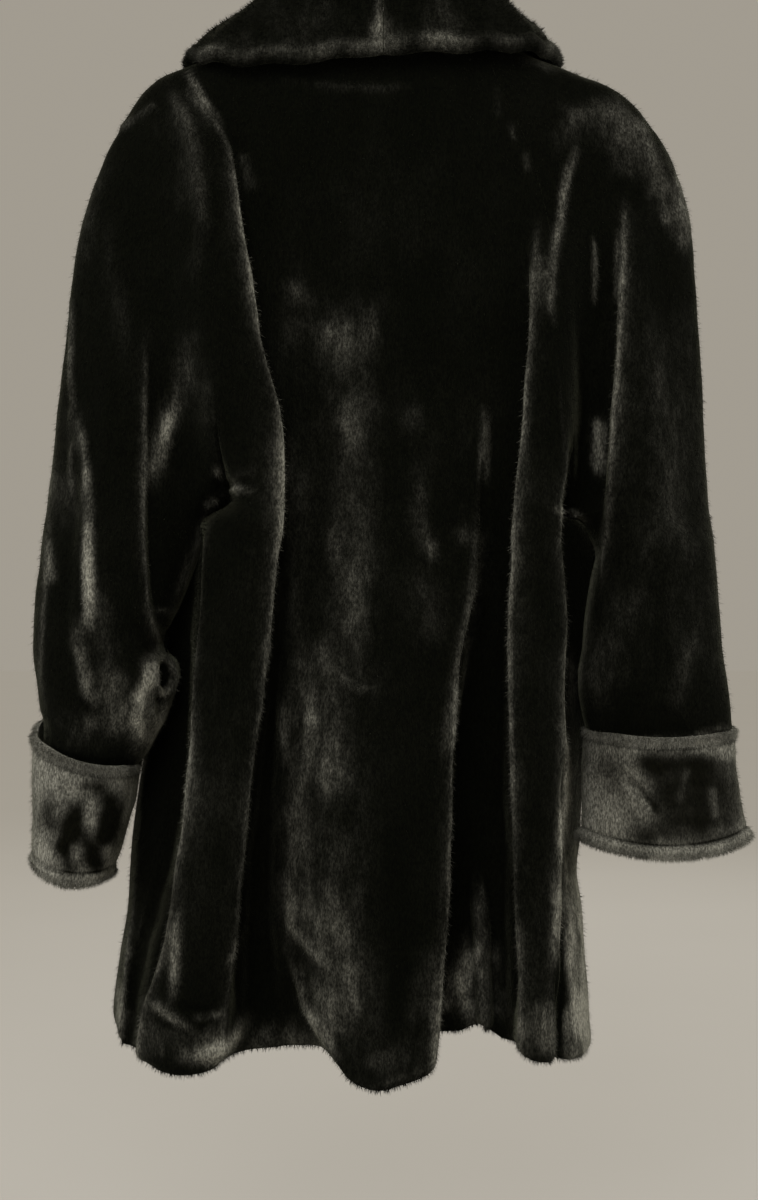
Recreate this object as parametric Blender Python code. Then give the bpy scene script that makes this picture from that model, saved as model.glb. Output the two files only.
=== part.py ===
"""A shawl collar coat of short black pile, hanging on a plain hanger.

Sizes are millimetres, and "drop" is the distance below the hook's inside top, where the
hanger is held. +X is the wearer's left, +Y the back of the coat, and the front faces -Y.
The coat is worked out as level sections: above the underarms one section runs round both
sleeves and the body, and below them it parts into two sleeves and the body.
"""

import bmesh
import bpy
import numpy as np

MM = 0.001

# Cloth
WALL = 5.0
COLLAR_WALL = 6.5
CUFF_WALL = 7.0
SEAM = 0.4

# Heights, as drops below the hook
NECK = 138.0
UNDERARM = {"left": 553.0, "right": 567.0}
HEM = 1008.0
PINCH_REACH = 85.0
BACK_NECK_DIP = 12.0
NECK_HALF = 75.0
HEM_START = 820.0
SIDE_TRIM = 45.0

SIGN = {"left": 1.0, "right": -1.0}


def table(columns, *rows):
    """A short table with named columns."""
    return dict(zip(columns.split(), np.array(rows, float).T))


# The outline of both sleeves, from the shoulder by the neck to the cuff: reach from the middle.
OUTLINE = table(
    "drop left right",
    (138, 86, 80),
    (150, 102, 90),
    (165, 125, 107),
    (180, 151, 130),
    (195, 184, 168),
    (210, 207, 203),
    (235, 222, 225),
    (270, 237, 243),
    (330, 257, 260),
    (420, 268, 267),
    (560, 284, 275),
    (670, 293, 283),
    (735, 286, 291),
    (860, 283, 298),
)
# The edge of the back: raglan seam above the underarm, side seam below it.
BACK_EDGE = table(
    "drop left right",
    (138, 75, 70),
    (180, 84, 84),
    (210, 95, 95),
    (270, 121, 121),
    (340, 135, 138),
    (420, 138, 150),
    (500, 134, 158),
    (553, 128, 162),
    (567, 138, 163),
    (600, 162, 177),
    (650, 181, 180),
    (720, 196, 177),
    (830, 216, 167),
    (900, 221, 167),
    (960, 227, 171),
    (1020, 234, 181),
)
# The front's raglan seam, as far as the underarm.
FRONT_EDGE = table(
    "drop left right",
    (138, 72, 67),
    (210, 98, 98),
    (270, 124, 124),
    (340, 140, 142),
    (420, 146, 156),
    (500, 140, 162),
    (553, 128, 162),
    (567, 138, 163),
)
# The front's free edge: it leaves the neck, crosses under the lapel and runs down the middle.
OPENING = table(
    "drop reach",
    (138, 62),
    (180, 58),
    (240, 46),
    (330, 25),
    (430, 5),
    (460, 2),
    (1020, 2),
)
# The inner edge of each sleeve under the arm.
SLEEVE_INNER = table(
    "drop left right",
    (553, 128, 163),
    (567, 138, 163),
    (590, 151, 178),
    (625, 162, 178),
    (660, 174, 174),
    (700, 178, 170),
    (735, 190, 170),
    (765, 208, 176),
    (860, 236, 176),
)
# Depths: how far back and front stand from the hanger, and how square the section is.
DEPTH = table(
    "drop back front square",
    (138, 38, 36, 2.0),
    (180, 44, 42, 2.2),
    (270, 52, 50, 2.6),
    (420, 54, 54, 3.0),
    (560, 54, 54, 3.0),
    (760, 54, 52, 3.0),
    (1020, 52, 52, 3.0),
)
# Below the underarm: where the side seams lie, and the sleeves' middles and half depths.
SIDES = table(
    "drop body round_left round_right sleeve deep_left deep_right",
    (553, 0, 50, 50, 0, 50, 50),
    (567, -6, 60, 50, 3, 50, 50),
    (595, -25, 100, 55, 12, 48, 48),
    (640, -36, 110, 60, 14, 48, 46),
    (720, -40, 110, 60, 18, 46, 40),
    (752, -40, 110, 60, 18, 38, 27),
    (860, -36, 90, 60, 18, 38, 26),
    (1020, -30, 70, 50, 18, 38, 26),
)


def fold(left_flank, right_flank, *rows):
    """A fold as a table of its two edges and its rise, with the width of each flank."""
    shape = table("drop left right rise", *rows)
    shape["flanks"] = (left_flank, right_flank)
    return shape


BACK_FOLDS = {
    "left tube": fold(
        34, 30,
        (215, 180, 156, 0),
        (270, 168, 124, 12),
        (340, 154, 113, 22),
        (420, 150, 99, 28),
        (516, 144, 81, 32),
        (600, 148, 82, 34),
        (700, 152, 95, 36),
        (800, 159, 108, 38),
        (920, 169, 116, 36),
        (1020, 174, 126, 30),
    ),
    "centre lobe": fold(
        40, 30,
        (470, 60, -86, 0),
        (560, 76, -80, 10),
        (630, 80, -73, 20),
        (700, 81, -58, 28),
        (880, 80, -49, 36),
        (1020, 54, -39, 42),
    ),
    "right tube": fold(
        34, 34,
        (260, -108, -140, 0),
        (346, -119, -141, 14),
        (420, -118, -141, 18),
        (520, -110, -149, 24),
        (565, -107, -140, 28),
        (660, -102, -149, 32),
        (800, -101, -139, 36),
        (1020, -106, -133, 30),
    ),
    "left side": fold(
        30, 28,
        (760, 202, 160, 0),
        (880, 215, 173, 12),
        (960, 222, 192, 16),
        (1020, 228, 208, 16),
    ),
    "valley ridge": fold(
        20, 20,
        (850, -70, -84, 0),
        (920, -74, -89, 12),
        (1020, -77, -92, 14),
    ),
    "left hollow": fold(
        24, 24,
        (560, 178, 150, 0),
        (660, 188, 156, -22),
        (800, 204, 164, -26),
        (1000, 204, 180, -10),
    ),
    "hollow by the left tube": fold(
        28, 28,
        (600, 84, 72, 0),
        (720, 96, 84, -14),
        (900, 110, 84, -18),
        (1020, 122, 66, -20),
    ),
    "hollow by the right tube": fold(
        28, 28,
        (560, -80, -106, 0),
        (680, -62, -102, -20),
        (1020, -44, -106, -26),
    ),
}
SLEEVE_FOLDS = {
    "left bend": fold(
        40, 28,
        (470, 240, 202, 0),
        (550, 240, 198, 10),
        (640, 236, 192, 12),
        (720, 236, 200, 0),
    ),
    "right roll": fold(
        26, 50,
        (300, -190, -225, 0),
        (350, -191, -230, 10),
        (430, -187, -235, 16),
        (520, -181, -235, 16),
        (600, -184, -235, 6),
        (680, -186, -235, 0),
    ),
    "right hollow": fold(
        26, 26,
        (330, -152, -186, 0),
        (430, -152, -184, -14),
        (520, -156, -180, -20),
        (560, -160, -178, 0),
    ),
}
FRONT_FOLDS = {
    "left chest": fold(
        50, 30,
        (300, 130, 92, 0),
        (520, 128, 84, 12),
        (800, 140, 92, 18),
        (1020, 158, 104, 16),
    ),
    "left edge": fold(
        40, 40,
        (560, 56, 30, 0),
        (800, 60, 26, 12),
        (1020, 66, 24, 16),
    ),
    "right chest": fold(
        34, 44,
        (330, -80, -118, 0),
        (560, -84, -122, 14),
        (1020, -92, -130, 18),
    ),
    "right edge": fold(
        40, 34,
        (600, -24, -50, 0),
        (1020, -22, -54, 12),
    ),
}
# How far the hem hangs below its level under each lobe: middle, half width, dip.
HEM_LOBES = table(
    "x half dip",
    (150, 60, 14),
    (8, 56, 20),
    (-120, 36, 4),
    (232, 40, -6),
    (-62, 20, -8),
)

# Turned-back cuffs: the ring's edges, its half depth and middle, the tilt and the dip behind.
CUFFS = {
    "left": table(
        "drop outer inner deep middle",
        (754, 295, 193, 54, 18),
        (800, 297, 207, 56, 18),
        (856, 295, 229, 57, 18),
    ),
    "right": table(
        "drop outer inner deep middle",
        (750, 302, 164, 38, 18),
        (800, 304, 163, 38, 18),
        (838, 311, 163, 37, 18),
    ),
}
CUFF_TILT = {"left": (20.0, 14.0), "right": (0.0, 0.0)}
CUFF_DIP = {"left": (4.0, 5.0), "right": (10.0, 12.0)}
SLEEVE_END = {"left": 842.0, "right": 822.0}

# The collar, from the middle of the back round to where the lapel ends.
COLLAR = table(
    "x y drop stand roll lean edge_x edge_y edge_drop",
    (0.3, 34, 148.5, 34, 11, 0.0, 0.3, 66, 194),
    (43, 29, 143, 32, 11, 0.0, 84, 63, 196),
    (66, 14, 136, 26, 11, 0.0, 148, 42, 187),
    (75, -6, 135, 20, 10, 0.1, 168, -2, 176),
    (69, -27, 137, 14, 11, 0.4, 163, -46, 201),
    (56, -46, 180, 10, 11, 0.8, 147, -60, 268),
    (43, -53, 250, 8, 10, 1.0, 126, -65, 330),
    (22, -56, 340, 8, 10, 1.0, 82, -69, 396),
    (3, -57, 432, 8, 9, 1.0, 30, -67, 446),
)
# The fall leaves the roll downwards, flares and curls over at its edge (parts of its length).
FALL_DROP = 0.2
FALL_FLARE = 0.2
FALL_CURL = 0.2
COLLAR_REACH = {"left": 1.0, "right": 0.9}

# Hanger
BAR = table(
    "x drop radius",
    (0, 124, 9),
    (60, 151, 9),
    (95, 175, 9),
    (125, 194, 9),
    (160, 214, 9),
    (196, 242, 8),
)
HOOK_WIRE = 1.9
HOOK_RADIUS = 16.0
HOOK_FOOT = 114.6


def read(shape, column, at):
    """Reads a column at any drop: a cubic through its rows that never overshoots them."""
    place, value = shape["drop"], shape[column]
    step = np.diff(place)
    rate = np.diff(value) / step
    slope = np.zeros_like(value)
    product = rate[:-1] * rate[1:]
    total = np.where(product > 0, rate[:-1] + rate[1:], 1.0)
    slope[1:-1] = np.where(product > 0, 2 * product / total, 0.0)
    slope[0], slope[-1] = rate[0], rate[-1]
    at = np.clip(np.asarray(at, float), place[0], place[-1])
    row = np.clip(np.searchsorted(place, at) - 1, 0, len(step) - 1)
    t = (at - place[row]) / step[row]
    start = (1 + 2 * t) * (1 - t) ** 2 * value[row] + t * (1 - t) ** 2 * step[row] * slope[row]
    end = t * t * (3 - 2 * t) * value[row + 1] - t * t * (1 - t) * step[row] * slope[row + 1]
    return start + end


def ease(value):
    """0 to 1 with a soft start and end."""
    t = np.clip(value, 0.0, 1.0)
    return t * t * (3 - 2 * t)


def bulge(value, power=2.0):
    """A round shoulder: 0 at the edge, rising steeply to 1 where value reaches 1."""
    return (1 - (1 - np.clip(value, 0.0, 1.0)) ** power) ** (1 / power)


def rise(folds, x, drop):
    """Sum of the folds at a place."""
    total = np.zeros(np.broadcast(x, drop).shape)
    for shape in folds.values():
        wide, narrow = shape["flanks"]
        before = ease(0.5 + (read(shape, "left", drop) - x) / wide)
        after = ease(0.5 + (x - read(shape, "right", drop)) / narrow)
        total = total + read(shape, "rise", drop) * before * after
    return total


def pinch(side, drop):
    """0 where sleeve and body share one section, 1 from the underarm down."""
    above = np.clip((UNDERARM[side] - drop) / PINCH_REACH, 0.0, 1.0)
    return 1 - np.sin(np.pi / 2 * above) ** 0.6


def shared(x, drop, face, inset):
    """Back (face +1) or front (-1) of the section that runs round sleeves and body."""
    reach = np.where(x > 0, read(OUTLINE, "left", drop), read(OUTLINE, "right", drop)) - inset
    power = read(DEPTH, "square", drop)
    across = np.clip(np.abs(x) / reach, 0.0, 1.0)
    round_off = (1 - across**power) ** (1 / power)
    if face > 0:
        depth = read(DEPTH, "back", drop) - inset
        depth = depth + rise(BACK_FOLDS, x, drop) + rise(SLEEVE_FOLDS, x, drop)
    else:
        depth = read(DEPTH, "front", drop) - inset + rise(FRONT_FOLDS, x, drop)
    return face * depth * round_off


def body_depth(x, drop, face, inset):
    """Back or front surface of the body at any drop."""
    side = np.where(x > 0, 1.0, -1.0)
    close = np.where(side > 0, pinch("left", drop), pinch("right", drop))
    left = read(BACK_EDGE, "left", drop) - SEAM / 2 - inset - x
    right = read(BACK_EDGE, "right", drop) - SEAM / 2 - inset + x
    seam = read(SIDES, "body", drop)
    corner = bulge(left / read(SIDES, "round_left", drop))
    corner = corner * bulge(right / read(SIDES, "round_right", drop))
    if face > 0:
        level = read(DEPTH, "back", drop) - inset + rise(BACK_FOLDS, x, drop)
    else:
        level = -(read(DEPTH, "front", drop) - inset + rise(FRONT_FOLDS, x, drop))
    below = seam + face * SEAM / 2 + (level - seam) * corner
    return (1 - close) * shared(x, drop, face, inset) + close * below


def sleeve_depth(side, x, drop, face, inset):
    """Back or front surface of a sleeve at any drop."""
    close = pinch(side, drop)
    outer = read(OUTLINE, side, drop) - inset
    inner = sleeve_edge(side, drop, face) + SEAM / 2 + inset * close
    middle = (outer + inner) / 2
    across = np.clip(np.abs(np.abs(x) - middle) / (outer - middle), 0.0, 1.0)
    round_off = (1 - across**2.2) ** (1 / 2.2)
    deep = read(SIDES, "deep_" + side, drop) - inset
    folds = rise(SLEEVE_FOLDS, x, drop) if face > 0 else 0.0
    tube = read(SIDES, "sleeve", drop) + face * (deep + folds) * round_off
    return (1 - close) * shared(x, drop, face, inset) + close * tube


def sleeve_edge(side, drop, face):
    """The sleeve's inner edge: the raglan seam, and under the arm the tube's inner side."""
    seam = BACK_EDGE if face > 0 else FRONT_EDGE
    above = read(seam, side, drop)
    below = read(SLEEVE_INNER, side, drop)
    return np.where(drop < UNDERARM[side], above, below)


def back_points(columns, rows, inset):
    """The back: its whole width from seam to seam, neck to hem."""
    drop = rows[:, None] + 0 * columns[None, :]
    left = read(BACK_EDGE, "left", drop) - SEAM / 2
    right = read(BACK_EDGE, "right", drop) - SEAM / 2
    low = ease((drop - UNDERARM["left"] + PINCH_REACH) / PINCH_REACH)
    dense = (1 - np.cos(np.pi * columns)) / 2
    part = (1 - low) * columns + low * dense
    x = left * (1 - part) - right * part
    trim_left = pinch("left", drop) * (1 - ease((left - x) / SIDE_TRIM))
    trim_right = pinch("right", drop) * (1 - ease((right + x) / SIDE_TRIM))
    x = x - inset * (trim_left - trim_right)
    y = body_depth(x, drop, 1.0, inset)
    return x, y, hang(x, neck_dip(x, drop))


def front_points(side, columns, rows, inset):
    """A front: from its free edge to the raglan and side seams."""
    drop = rows[:, None] + 0 * columns[None, :]
    seam = read(FRONT_EDGE, side, drop)
    seam = np.where(drop < UNDERARM[side], seam, read(BACK_EDGE, side, drop)) - SEAM / 2
    close = pinch(side, drop)
    part = (1 - close) * columns + close * np.sin(np.pi / 2 * columns)
    opening = read(OPENING, "reach", drop)
    x = SIGN[side] * (opening + (seam - inset * close - opening) * part)
    y = body_depth(x, drop, -1.0, inset)
    return x, y, hang(x, drop)


def sleeve_points(side, columns, rows, inset):
    """A raglan sleeve: columns run from the back seam over the arm to the front seam."""
    drop = rows[:, None] + 0 * columns[None, :]
    close = pinch(side, drop)
    face = np.where(columns < 0.5, 1.0, -1.0)[None, :] + 0 * drop
    part = 1 - np.abs(2 * columns[None, :] - 1) + 0 * drop
    spread = (1 - close) * np.sin(np.pi / 2 * part) + close * (1 - np.cos(np.pi * part)) / 2
    outer = read(OUTLINE, side, drop) - inset
    inner = np.where(face > 0, sleeve_edge(side, drop, 1.0), sleeve_edge(side, drop, -1.0))
    inner = inner + inset * close + SEAM / 2
    x = SIGN[side] * (inner + (outer - inner) * spread)
    back = sleeve_depth(side, x, drop, 1.0, inset)
    front = sleeve_depth(side, x, drop, -1.0, inset)
    return x, np.where(face > 0, back, front), drop


def cuff_points(side, columns, rows, inset):
    """A turned-back cuff: a ring outside the sleeve's end."""
    shape = CUFFS[side]
    first, last = shape["drop"][0], shape["drop"][-1]
    drop = first + (last - first) * rows[:, None] + 0 * columns[None, :]
    angle = 2 * np.pi * columns[None, :] + 0 * drop
    outer = read(shape, "outer", drop) - inset
    inner = read(shape, "inner", drop) + inset
    x = (outer + inner) / 2 + (outer - inner) / 2 * np.cos(angle)
    y = read(shape, "middle", drop) + (read(shape, "deep", drop) - inset) * np.sin(angle)
    tilt = np.interp(rows, (0, 1), CUFF_TILT[side])[:, None]
    dip = np.interp(rows, (0, 1), CUFF_DIP[side])[:, None]
    lower = tilt * (1 - np.cos(angle)) / 2 + dip * np.sin(angle) ** 2
    return SIGN[side] * x, y, drop + lower


def neck_dip(x, drop):
    """Lowers the back's top edge in the middle."""
    fade = 1 - ease((drop - NECK) / 60)
    return drop + BACK_NECK_DIP * np.clip(1 - (x / NECK_HALF) ** 2, 0, 1) * fade


def hang(x, drop):
    """Lets the hem hang lower under its lobes."""
    dip = np.zeros_like(x)
    for middle, half, depth in zip(*(HEM_LOBES[name] for name in ("x", "half", "dip"))):
        dip = dip + depth * np.exp(-(((x - middle) / half) ** 2))
    return drop + dip * ease((drop - HEM_START) / (HEM - HEM_START))


def collar_points(side, columns, rows):
    """The collar's showing side: up its stand, over the roll and down the fall."""
    shape = dict(COLLAR)
    shape["drop_of_seam"] = COLLAR["drop"]
    shape["drop"] = np.arange(len(COLLAR["x"]), dtype=float)
    station = rows * (len(COLLAR["x"]) - 1)
    value = {name: read(shape, name, station) for name in shape if name != "drop"}
    reach = COLLAR_REACH[side]
    points = np.zeros((len(rows), len(columns), 3))
    for row in range(len(rows)):
        now = {name: column[row] for name, column in value.items()}
        start = np.array((now["x"], now["y"], -now["drop_of_seam"]))
        wide = 1 + (reach - 1) * ease(rows[row] * 4)
        end = np.array((now["edge_x"] * wide, now["edge_y"], -now["edge_drop"]))
        up = np.array((0.0, -np.sin(now["lean"] * np.pi / 2), np.cos(now["lean"] * np.pi / 2)))
        out = (end - start) - up * np.dot(end - start, up)
        out = out / np.linalg.norm(out)
        points[row] = collar_profile(start, end, up, out, now["stand"], now["roll"], columns)
    points[:, :, 0] *= SIGN[side]
    return points[:, :, 0], points[:, :, 1], -points[:, :, 2]


def collar_profile(start, end, up, out, stand, roll, columns):
    """One section of the collar: stand, half-round roll and a softly bowed fall."""
    top = start + up * stand
    over = top + out * 2 * roll
    profile = []
    for part in columns:
        if part < 0.2:
            profile.append(start + (top - start) * part / 0.2)
        elif part < 0.5:
            angle = np.pi * (part - 0.2) / 0.3
            profile.append(top + out * roll * (1 - np.cos(angle)) + up * roll * np.sin(angle))
        else:
            t = (part - 0.5) / 0.5
            long = np.linalg.norm(end - over)
            near = over - up * FALL_DROP * long
            far = end - out * FALL_FLARE * long + up * FALL_CURL * long
            profile.append((1 - t) ** 3 * over + 3 * t * (1 - t) ** 2 * near
                           + 3 * t * t * (1 - t) * far + t**3 * end)
    return np.array(profile)


def moved(points, distance):
    """The same grid moved along its own surface direction."""
    x, y, drop = points
    place = np.stack((x, y, -drop), axis=2)
    along = np.gradient(place, axis=0)
    across = np.gradient(place, axis=1)
    facing = np.cross(along, across)
    facing = facing / np.maximum(np.linalg.norm(facing, axis=2), 1e-9)[:, :, None]
    place = place + facing * distance
    return place[:, :, 0], place[:, :, 1], -place[:, :, 2]


def wall(name, outside, inside, colour, closed_from=None):
    """A closed wall between two grids; from row closed_from down it is a tube."""
    rows, columns = outside[0].shape
    mesh = bmesh.new()
    grids = []
    for x, y, drop in (outside, inside):
        grid = []
        for row in range(rows):
            line = []
            for column in range(columns):
                ring = closed_from is not None and row >= closed_from
                if ring and column == columns - 1:
                    line.append(line[0])
                    continue
                place = (x[row, column] * MM, y[row, column] * MM, -drop[row, column] * MM)
                line.append(mesh.verts.new(place))
            grid.append(line)
        grids.append(grid)
    top, under = grids
    for row in range(rows - 1):
        for column in range(columns - 1):
            first, second = (row, column), (row + 1, column + 1)
            for third in ((row + 1, column), (row, column + 1)):
                corners = (first, third, second)
                face(mesh, [top[r][c] for r, c in corners])
                face(mesh, [under[r][c] for r, c in corners])
    for column in range(columns - 1):
        rim(mesh, top[0][column + 1], top[0][column], under[0][column], under[0][column + 1])
        last = rows - 1
        rim(mesh, top[last][column], top[last][column + 1],
            under[last][column + 1], under[last][column])
    open_rows = rows - 1 if closed_from is None else closed_from
    for row in range(open_rows):
        last = columns - 1
        rim(mesh, top[row][0], top[row + 1][0], under[row + 1][0], under[row][0])
        rim(mesh, top[row + 1][last], top[row][last], under[row][last], under[row + 1][last])
    bmesh.ops.recalc_face_normals(mesh, faces=mesh.faces)
    return finish(name, mesh, colour)


def face(mesh, corners):
    """Adds a face, leaving out corners that have closed up."""
    kept = [corner for k, corner in enumerate(corners) if corner is not corners[k - 1]]
    if len(kept) > 2:
        mesh.faces.new(kept)


def rim(mesh, first, second, third, fourth):
    """Adds one piece of a wall's edge."""
    face(mesh, [fourth, third, second, first])


def tube(name, path, radii, sides, colour):
    """A round bar along a path in one upright plane, with flat ends."""
    path = np.array(path, float)
    mesh = bmesh.new()
    along = np.gradient(path, axis=0)
    rings = []
    for place, direction, radius in zip(path, along, radii):
        direction = direction / np.linalg.norm(direction)
        flat = np.array((0.0, 1.0, 0.0))
        upright = np.cross(direction, flat)
        angles = np.linspace(0, 2 * np.pi, sides, endpoint=False)
        ring = [place + radius * (np.cos(a) * flat + np.sin(a) * upright) for a in angles]
        rings.append([mesh.verts.new(tuple(point * MM)) for point in ring])
    for first, second in zip(rings, rings[1:]):
        for k in range(sides):
            after = (k + 1) % sides
            mesh.faces.new((first[k], first[after], second[after], second[k]))
    mesh.faces.new(rings[0])
    mesh.faces.new(rings[-1])
    bmesh.ops.recalc_face_normals(mesh, faces=mesh.faces)
    return finish(name, mesh, colour)


def finish(name, mesh, colour):
    """Turns a bmesh into a named object with its own material."""
    data = bpy.data.meshes.new(name)
    mesh.to_mesh(data)
    mesh.free()
    data.shade_smooth()
    data.set_sharp_from_angle(angle=np.radians(50))
    made = bpy.data.objects.new(name, data)
    bpy.context.scene.collection.objects.link(made)
    base, roughness, metallic = colour
    material = bpy.data.materials.new(name)
    material.use_nodes = True
    shader = material.node_tree.nodes["Principled BSDF"]
    shader.inputs["Base Color"].default_value = (*base, 1.0)
    shader.inputs["Roughness"].default_value = roughness
    shader.inputs["Metallic"].default_value = metallic
    data.materials.append(material)
    return made


PILE = ((0.012, 0.013, 0.012), 0.9, 0.0)
CUFF_PILE = ((0.045, 0.048, 0.045), 0.9, 0.0)
BLACK_PLASTIC = ((0.03, 0.03, 0.03), 0.45, 0.0)
STEEL = ((0.55, 0.55, 0.56), 0.3, 1.0)

# Rows that every panel shares, so that seams meet point for point.
UPPER_ROWS = (138, 148, 163, 180, 198, 222, 262, 315, 375, 435, 490, 525, 543)
BODY_ROWS = (553, 567, 585, 612, 648, 695, 750, 810, 865, 915, 965, 1008)


def rows_for(side, end):
    """Shared rows from the neck down to a sleeve's end."""
    lower = [row for row in BODY_ROWS if row < end - 12]
    return np.array((*UPPER_ROWS, *lower, end), float)


def make_body():
    """The back in one piece and the two fronts."""
    rows = np.array((*UPPER_ROWS, *BODY_ROWS), float)
    columns = np.linspace(0, 1, 28)
    wall("back", back_points(columns, rows, 0.0), back_points(columns, rows, WALL), PILE)
    columns = np.linspace(0, 1, 7)
    for side in ("left", "right"):
        outside = front_points(side, columns, rows, 0.0)
        inside = front_points(side, columns, rows, WALL)
        wall("front_" + side, outside, inside, PILE)


def make_sleeves():
    """Raglan sleeves, each one tube below the underarm."""
    columns = np.linspace(0, 1, 17)
    for side in ("left", "right"):
        rows = rows_for(side, SLEEVE_END[side])
        closed = int(np.searchsorted(rows, UNDERARM[side]))
        outside = sleeve_points(side, columns, rows, 0.0)
        inside = sleeve_points(side, columns, rows, WALL)
        wall("sleeve_" + side, outside, inside, PILE, closed)


def make_cuffs():
    """Turned-back cuffs."""
    columns = np.linspace(0, 1, 19)
    rows = np.linspace(0, 1, 4)
    for side in ("left", "right"):
        outside = cuff_points(side, columns, rows, 0.0)
        inside = cuff_points(side, columns, rows, CUFF_WALL)
        wall("cuff_" + side, outside, inside, CUFF_PILE, 0)


def make_collar():
    """The shawl collar in two halves that meet behind the neck."""
    rows = np.linspace(0, 1, 16)
    columns = np.array((0, 0.2, 0.275, 0.35, 0.425, 0.5, 0.62, 0.75, 0.88, 1.0))
    for side in ("left", "right"):
        outside = collar_points(side, columns, rows)
        inside = moved(outside, -SIGN[side] * COLLAR_WALL)
        inside[0][0] = outside[0][0]
        wall("collar_" + side, outside, inside, PILE)


def make_hanger():
    """A curved bar under the shoulders and a wire hook over it."""
    x = np.linspace(-BAR["x"][-1], BAR["x"][-1], 25)
    bar = dict(BAR, drop=BAR["x"], low=BAR["drop"])
    path = [(place, 0.0, -float(read(bar, "low", abs(place)))) for place in x]
    radii = [float(read(bar, "radius", abs(place))) for place in x]
    tube("hanger_bar", path, radii, 10, BLACK_PLASTIC)
    centre = HOOK_WIRE - HOOK_RADIUS
    turn = np.radians(np.linspace(-90, 160, 19))
    arc = [(HOOK_RADIUS * np.cos(a), 0.0, centre + HOOK_RADIUS * np.sin(a)) for a in turn]
    low = centre - HOOK_RADIUS
    stem = [(0.0, 0.0, -HOOK_FOOT), (0.0, 0.0, low - 24), (0.0, 0.0, low - 12)]
    path = stem + arc
    tube("hanger_hook", path, [HOOK_WIRE] * len(path), 8, STEEL)


def main():
    for old in list(bpy.data.objects):
        bpy.data.objects.remove(old, do_unlink=True)
    make_body()
    make_sleeves()
    make_cuffs()
    make_collar()
    make_hanger()


main()
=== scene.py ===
# %% [markdown]
# # A shawl collar coat of short black pile
#
# This lesson dresses a plain frame of a coat on its hanger. Each panel is made again as
# a thin shell with finer folds, then given a pile finish and its own short hairs. A cloth
# simulation could hang such a coat, but it would choose its own folds. These are given
# one by one, because each has to start and end in a known place. Heights are "drops" in
# millimetres below the hook, +X is the wearer's left, and the coat's back faces +Y.

import bpy
import numpy as np
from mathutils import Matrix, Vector


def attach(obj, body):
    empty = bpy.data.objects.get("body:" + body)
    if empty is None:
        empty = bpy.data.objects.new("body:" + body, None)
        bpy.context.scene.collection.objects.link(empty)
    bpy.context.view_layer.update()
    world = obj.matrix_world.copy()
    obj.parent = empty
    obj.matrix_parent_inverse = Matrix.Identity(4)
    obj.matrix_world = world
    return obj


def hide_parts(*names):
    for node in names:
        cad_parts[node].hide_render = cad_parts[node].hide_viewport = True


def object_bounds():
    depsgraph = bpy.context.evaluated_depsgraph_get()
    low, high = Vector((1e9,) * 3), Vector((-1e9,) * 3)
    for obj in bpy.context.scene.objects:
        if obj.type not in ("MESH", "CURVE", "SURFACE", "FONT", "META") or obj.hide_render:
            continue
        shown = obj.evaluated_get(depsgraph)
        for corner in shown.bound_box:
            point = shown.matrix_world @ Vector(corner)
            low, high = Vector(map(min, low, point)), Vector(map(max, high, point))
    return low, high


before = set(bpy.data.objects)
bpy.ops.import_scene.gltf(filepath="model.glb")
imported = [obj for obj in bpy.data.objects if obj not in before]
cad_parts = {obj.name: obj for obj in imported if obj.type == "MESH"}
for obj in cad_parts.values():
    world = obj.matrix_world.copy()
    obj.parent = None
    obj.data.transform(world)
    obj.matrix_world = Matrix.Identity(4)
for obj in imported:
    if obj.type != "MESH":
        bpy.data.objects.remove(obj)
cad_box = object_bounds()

MM = 0.001
SIGN = {"left": 1.0, "right": -1.0}
print("frame box, metres:", [tuple(round(v, 3) for v in corner) for corner in cad_box])

# %% [markdown]
# ## Camera
#
# The coat is seen from behind, straight on. The camera stands level with its waist, so
# that the shoulders are seen from a little below and the hem from a little above. A
# longer lens from further away would flatten the folds, so it stays one big step away.

# %% Stand the camera behind the coat
# metres behind the hook and beside it, and millimetres below it
CAMERA_BACK, CAMERA_ASIDE = 1.45, 0.0034
CAMERA_DROP = 637.5
VIEW_HALF_HEIGHT = 0.51


def add_object(name, data):
    """Adds a camera, a light or a mesh to the scene as an object."""
    made = bpy.data.objects.new(name, data)
    bpy.context.scene.collection.objects.link(made)
    return made


camera = add_object("camera", bpy.data.cameras.new("camera"))
camera.location = (CAMERA_ASIDE, CAMERA_BACK, -CAMERA_DROP * MM)
camera.rotation_euler = (np.pi / 2, 0.0, np.pi)
camera.data.lens = camera.data.sensor_width / 2 / (VIEW_HALF_HEIGHT / CAMERA_BACK)
bpy.context.scene.camera = camera
print("lens, mm:", round(camera.data.lens, 2))

# %% [markdown]
# ## The coat's measurements
#
# A tailor would keep a table of widths at each height. The same tables shape every
# panel here: the outline, where the seams run, how deep the coat stands from the
# hanger. Curves drawn by eye would do too, but numbers in rows are easier to correct. A
# smooth curve through each column gives the value at any height. It never swings past
# its rows, so a width that should only grow does only grow.

# %% Read a table at any height
def table(columns, *rows):
    """A short table with named columns."""
    return dict(zip(columns.split(), np.array(rows, float).T))


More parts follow.
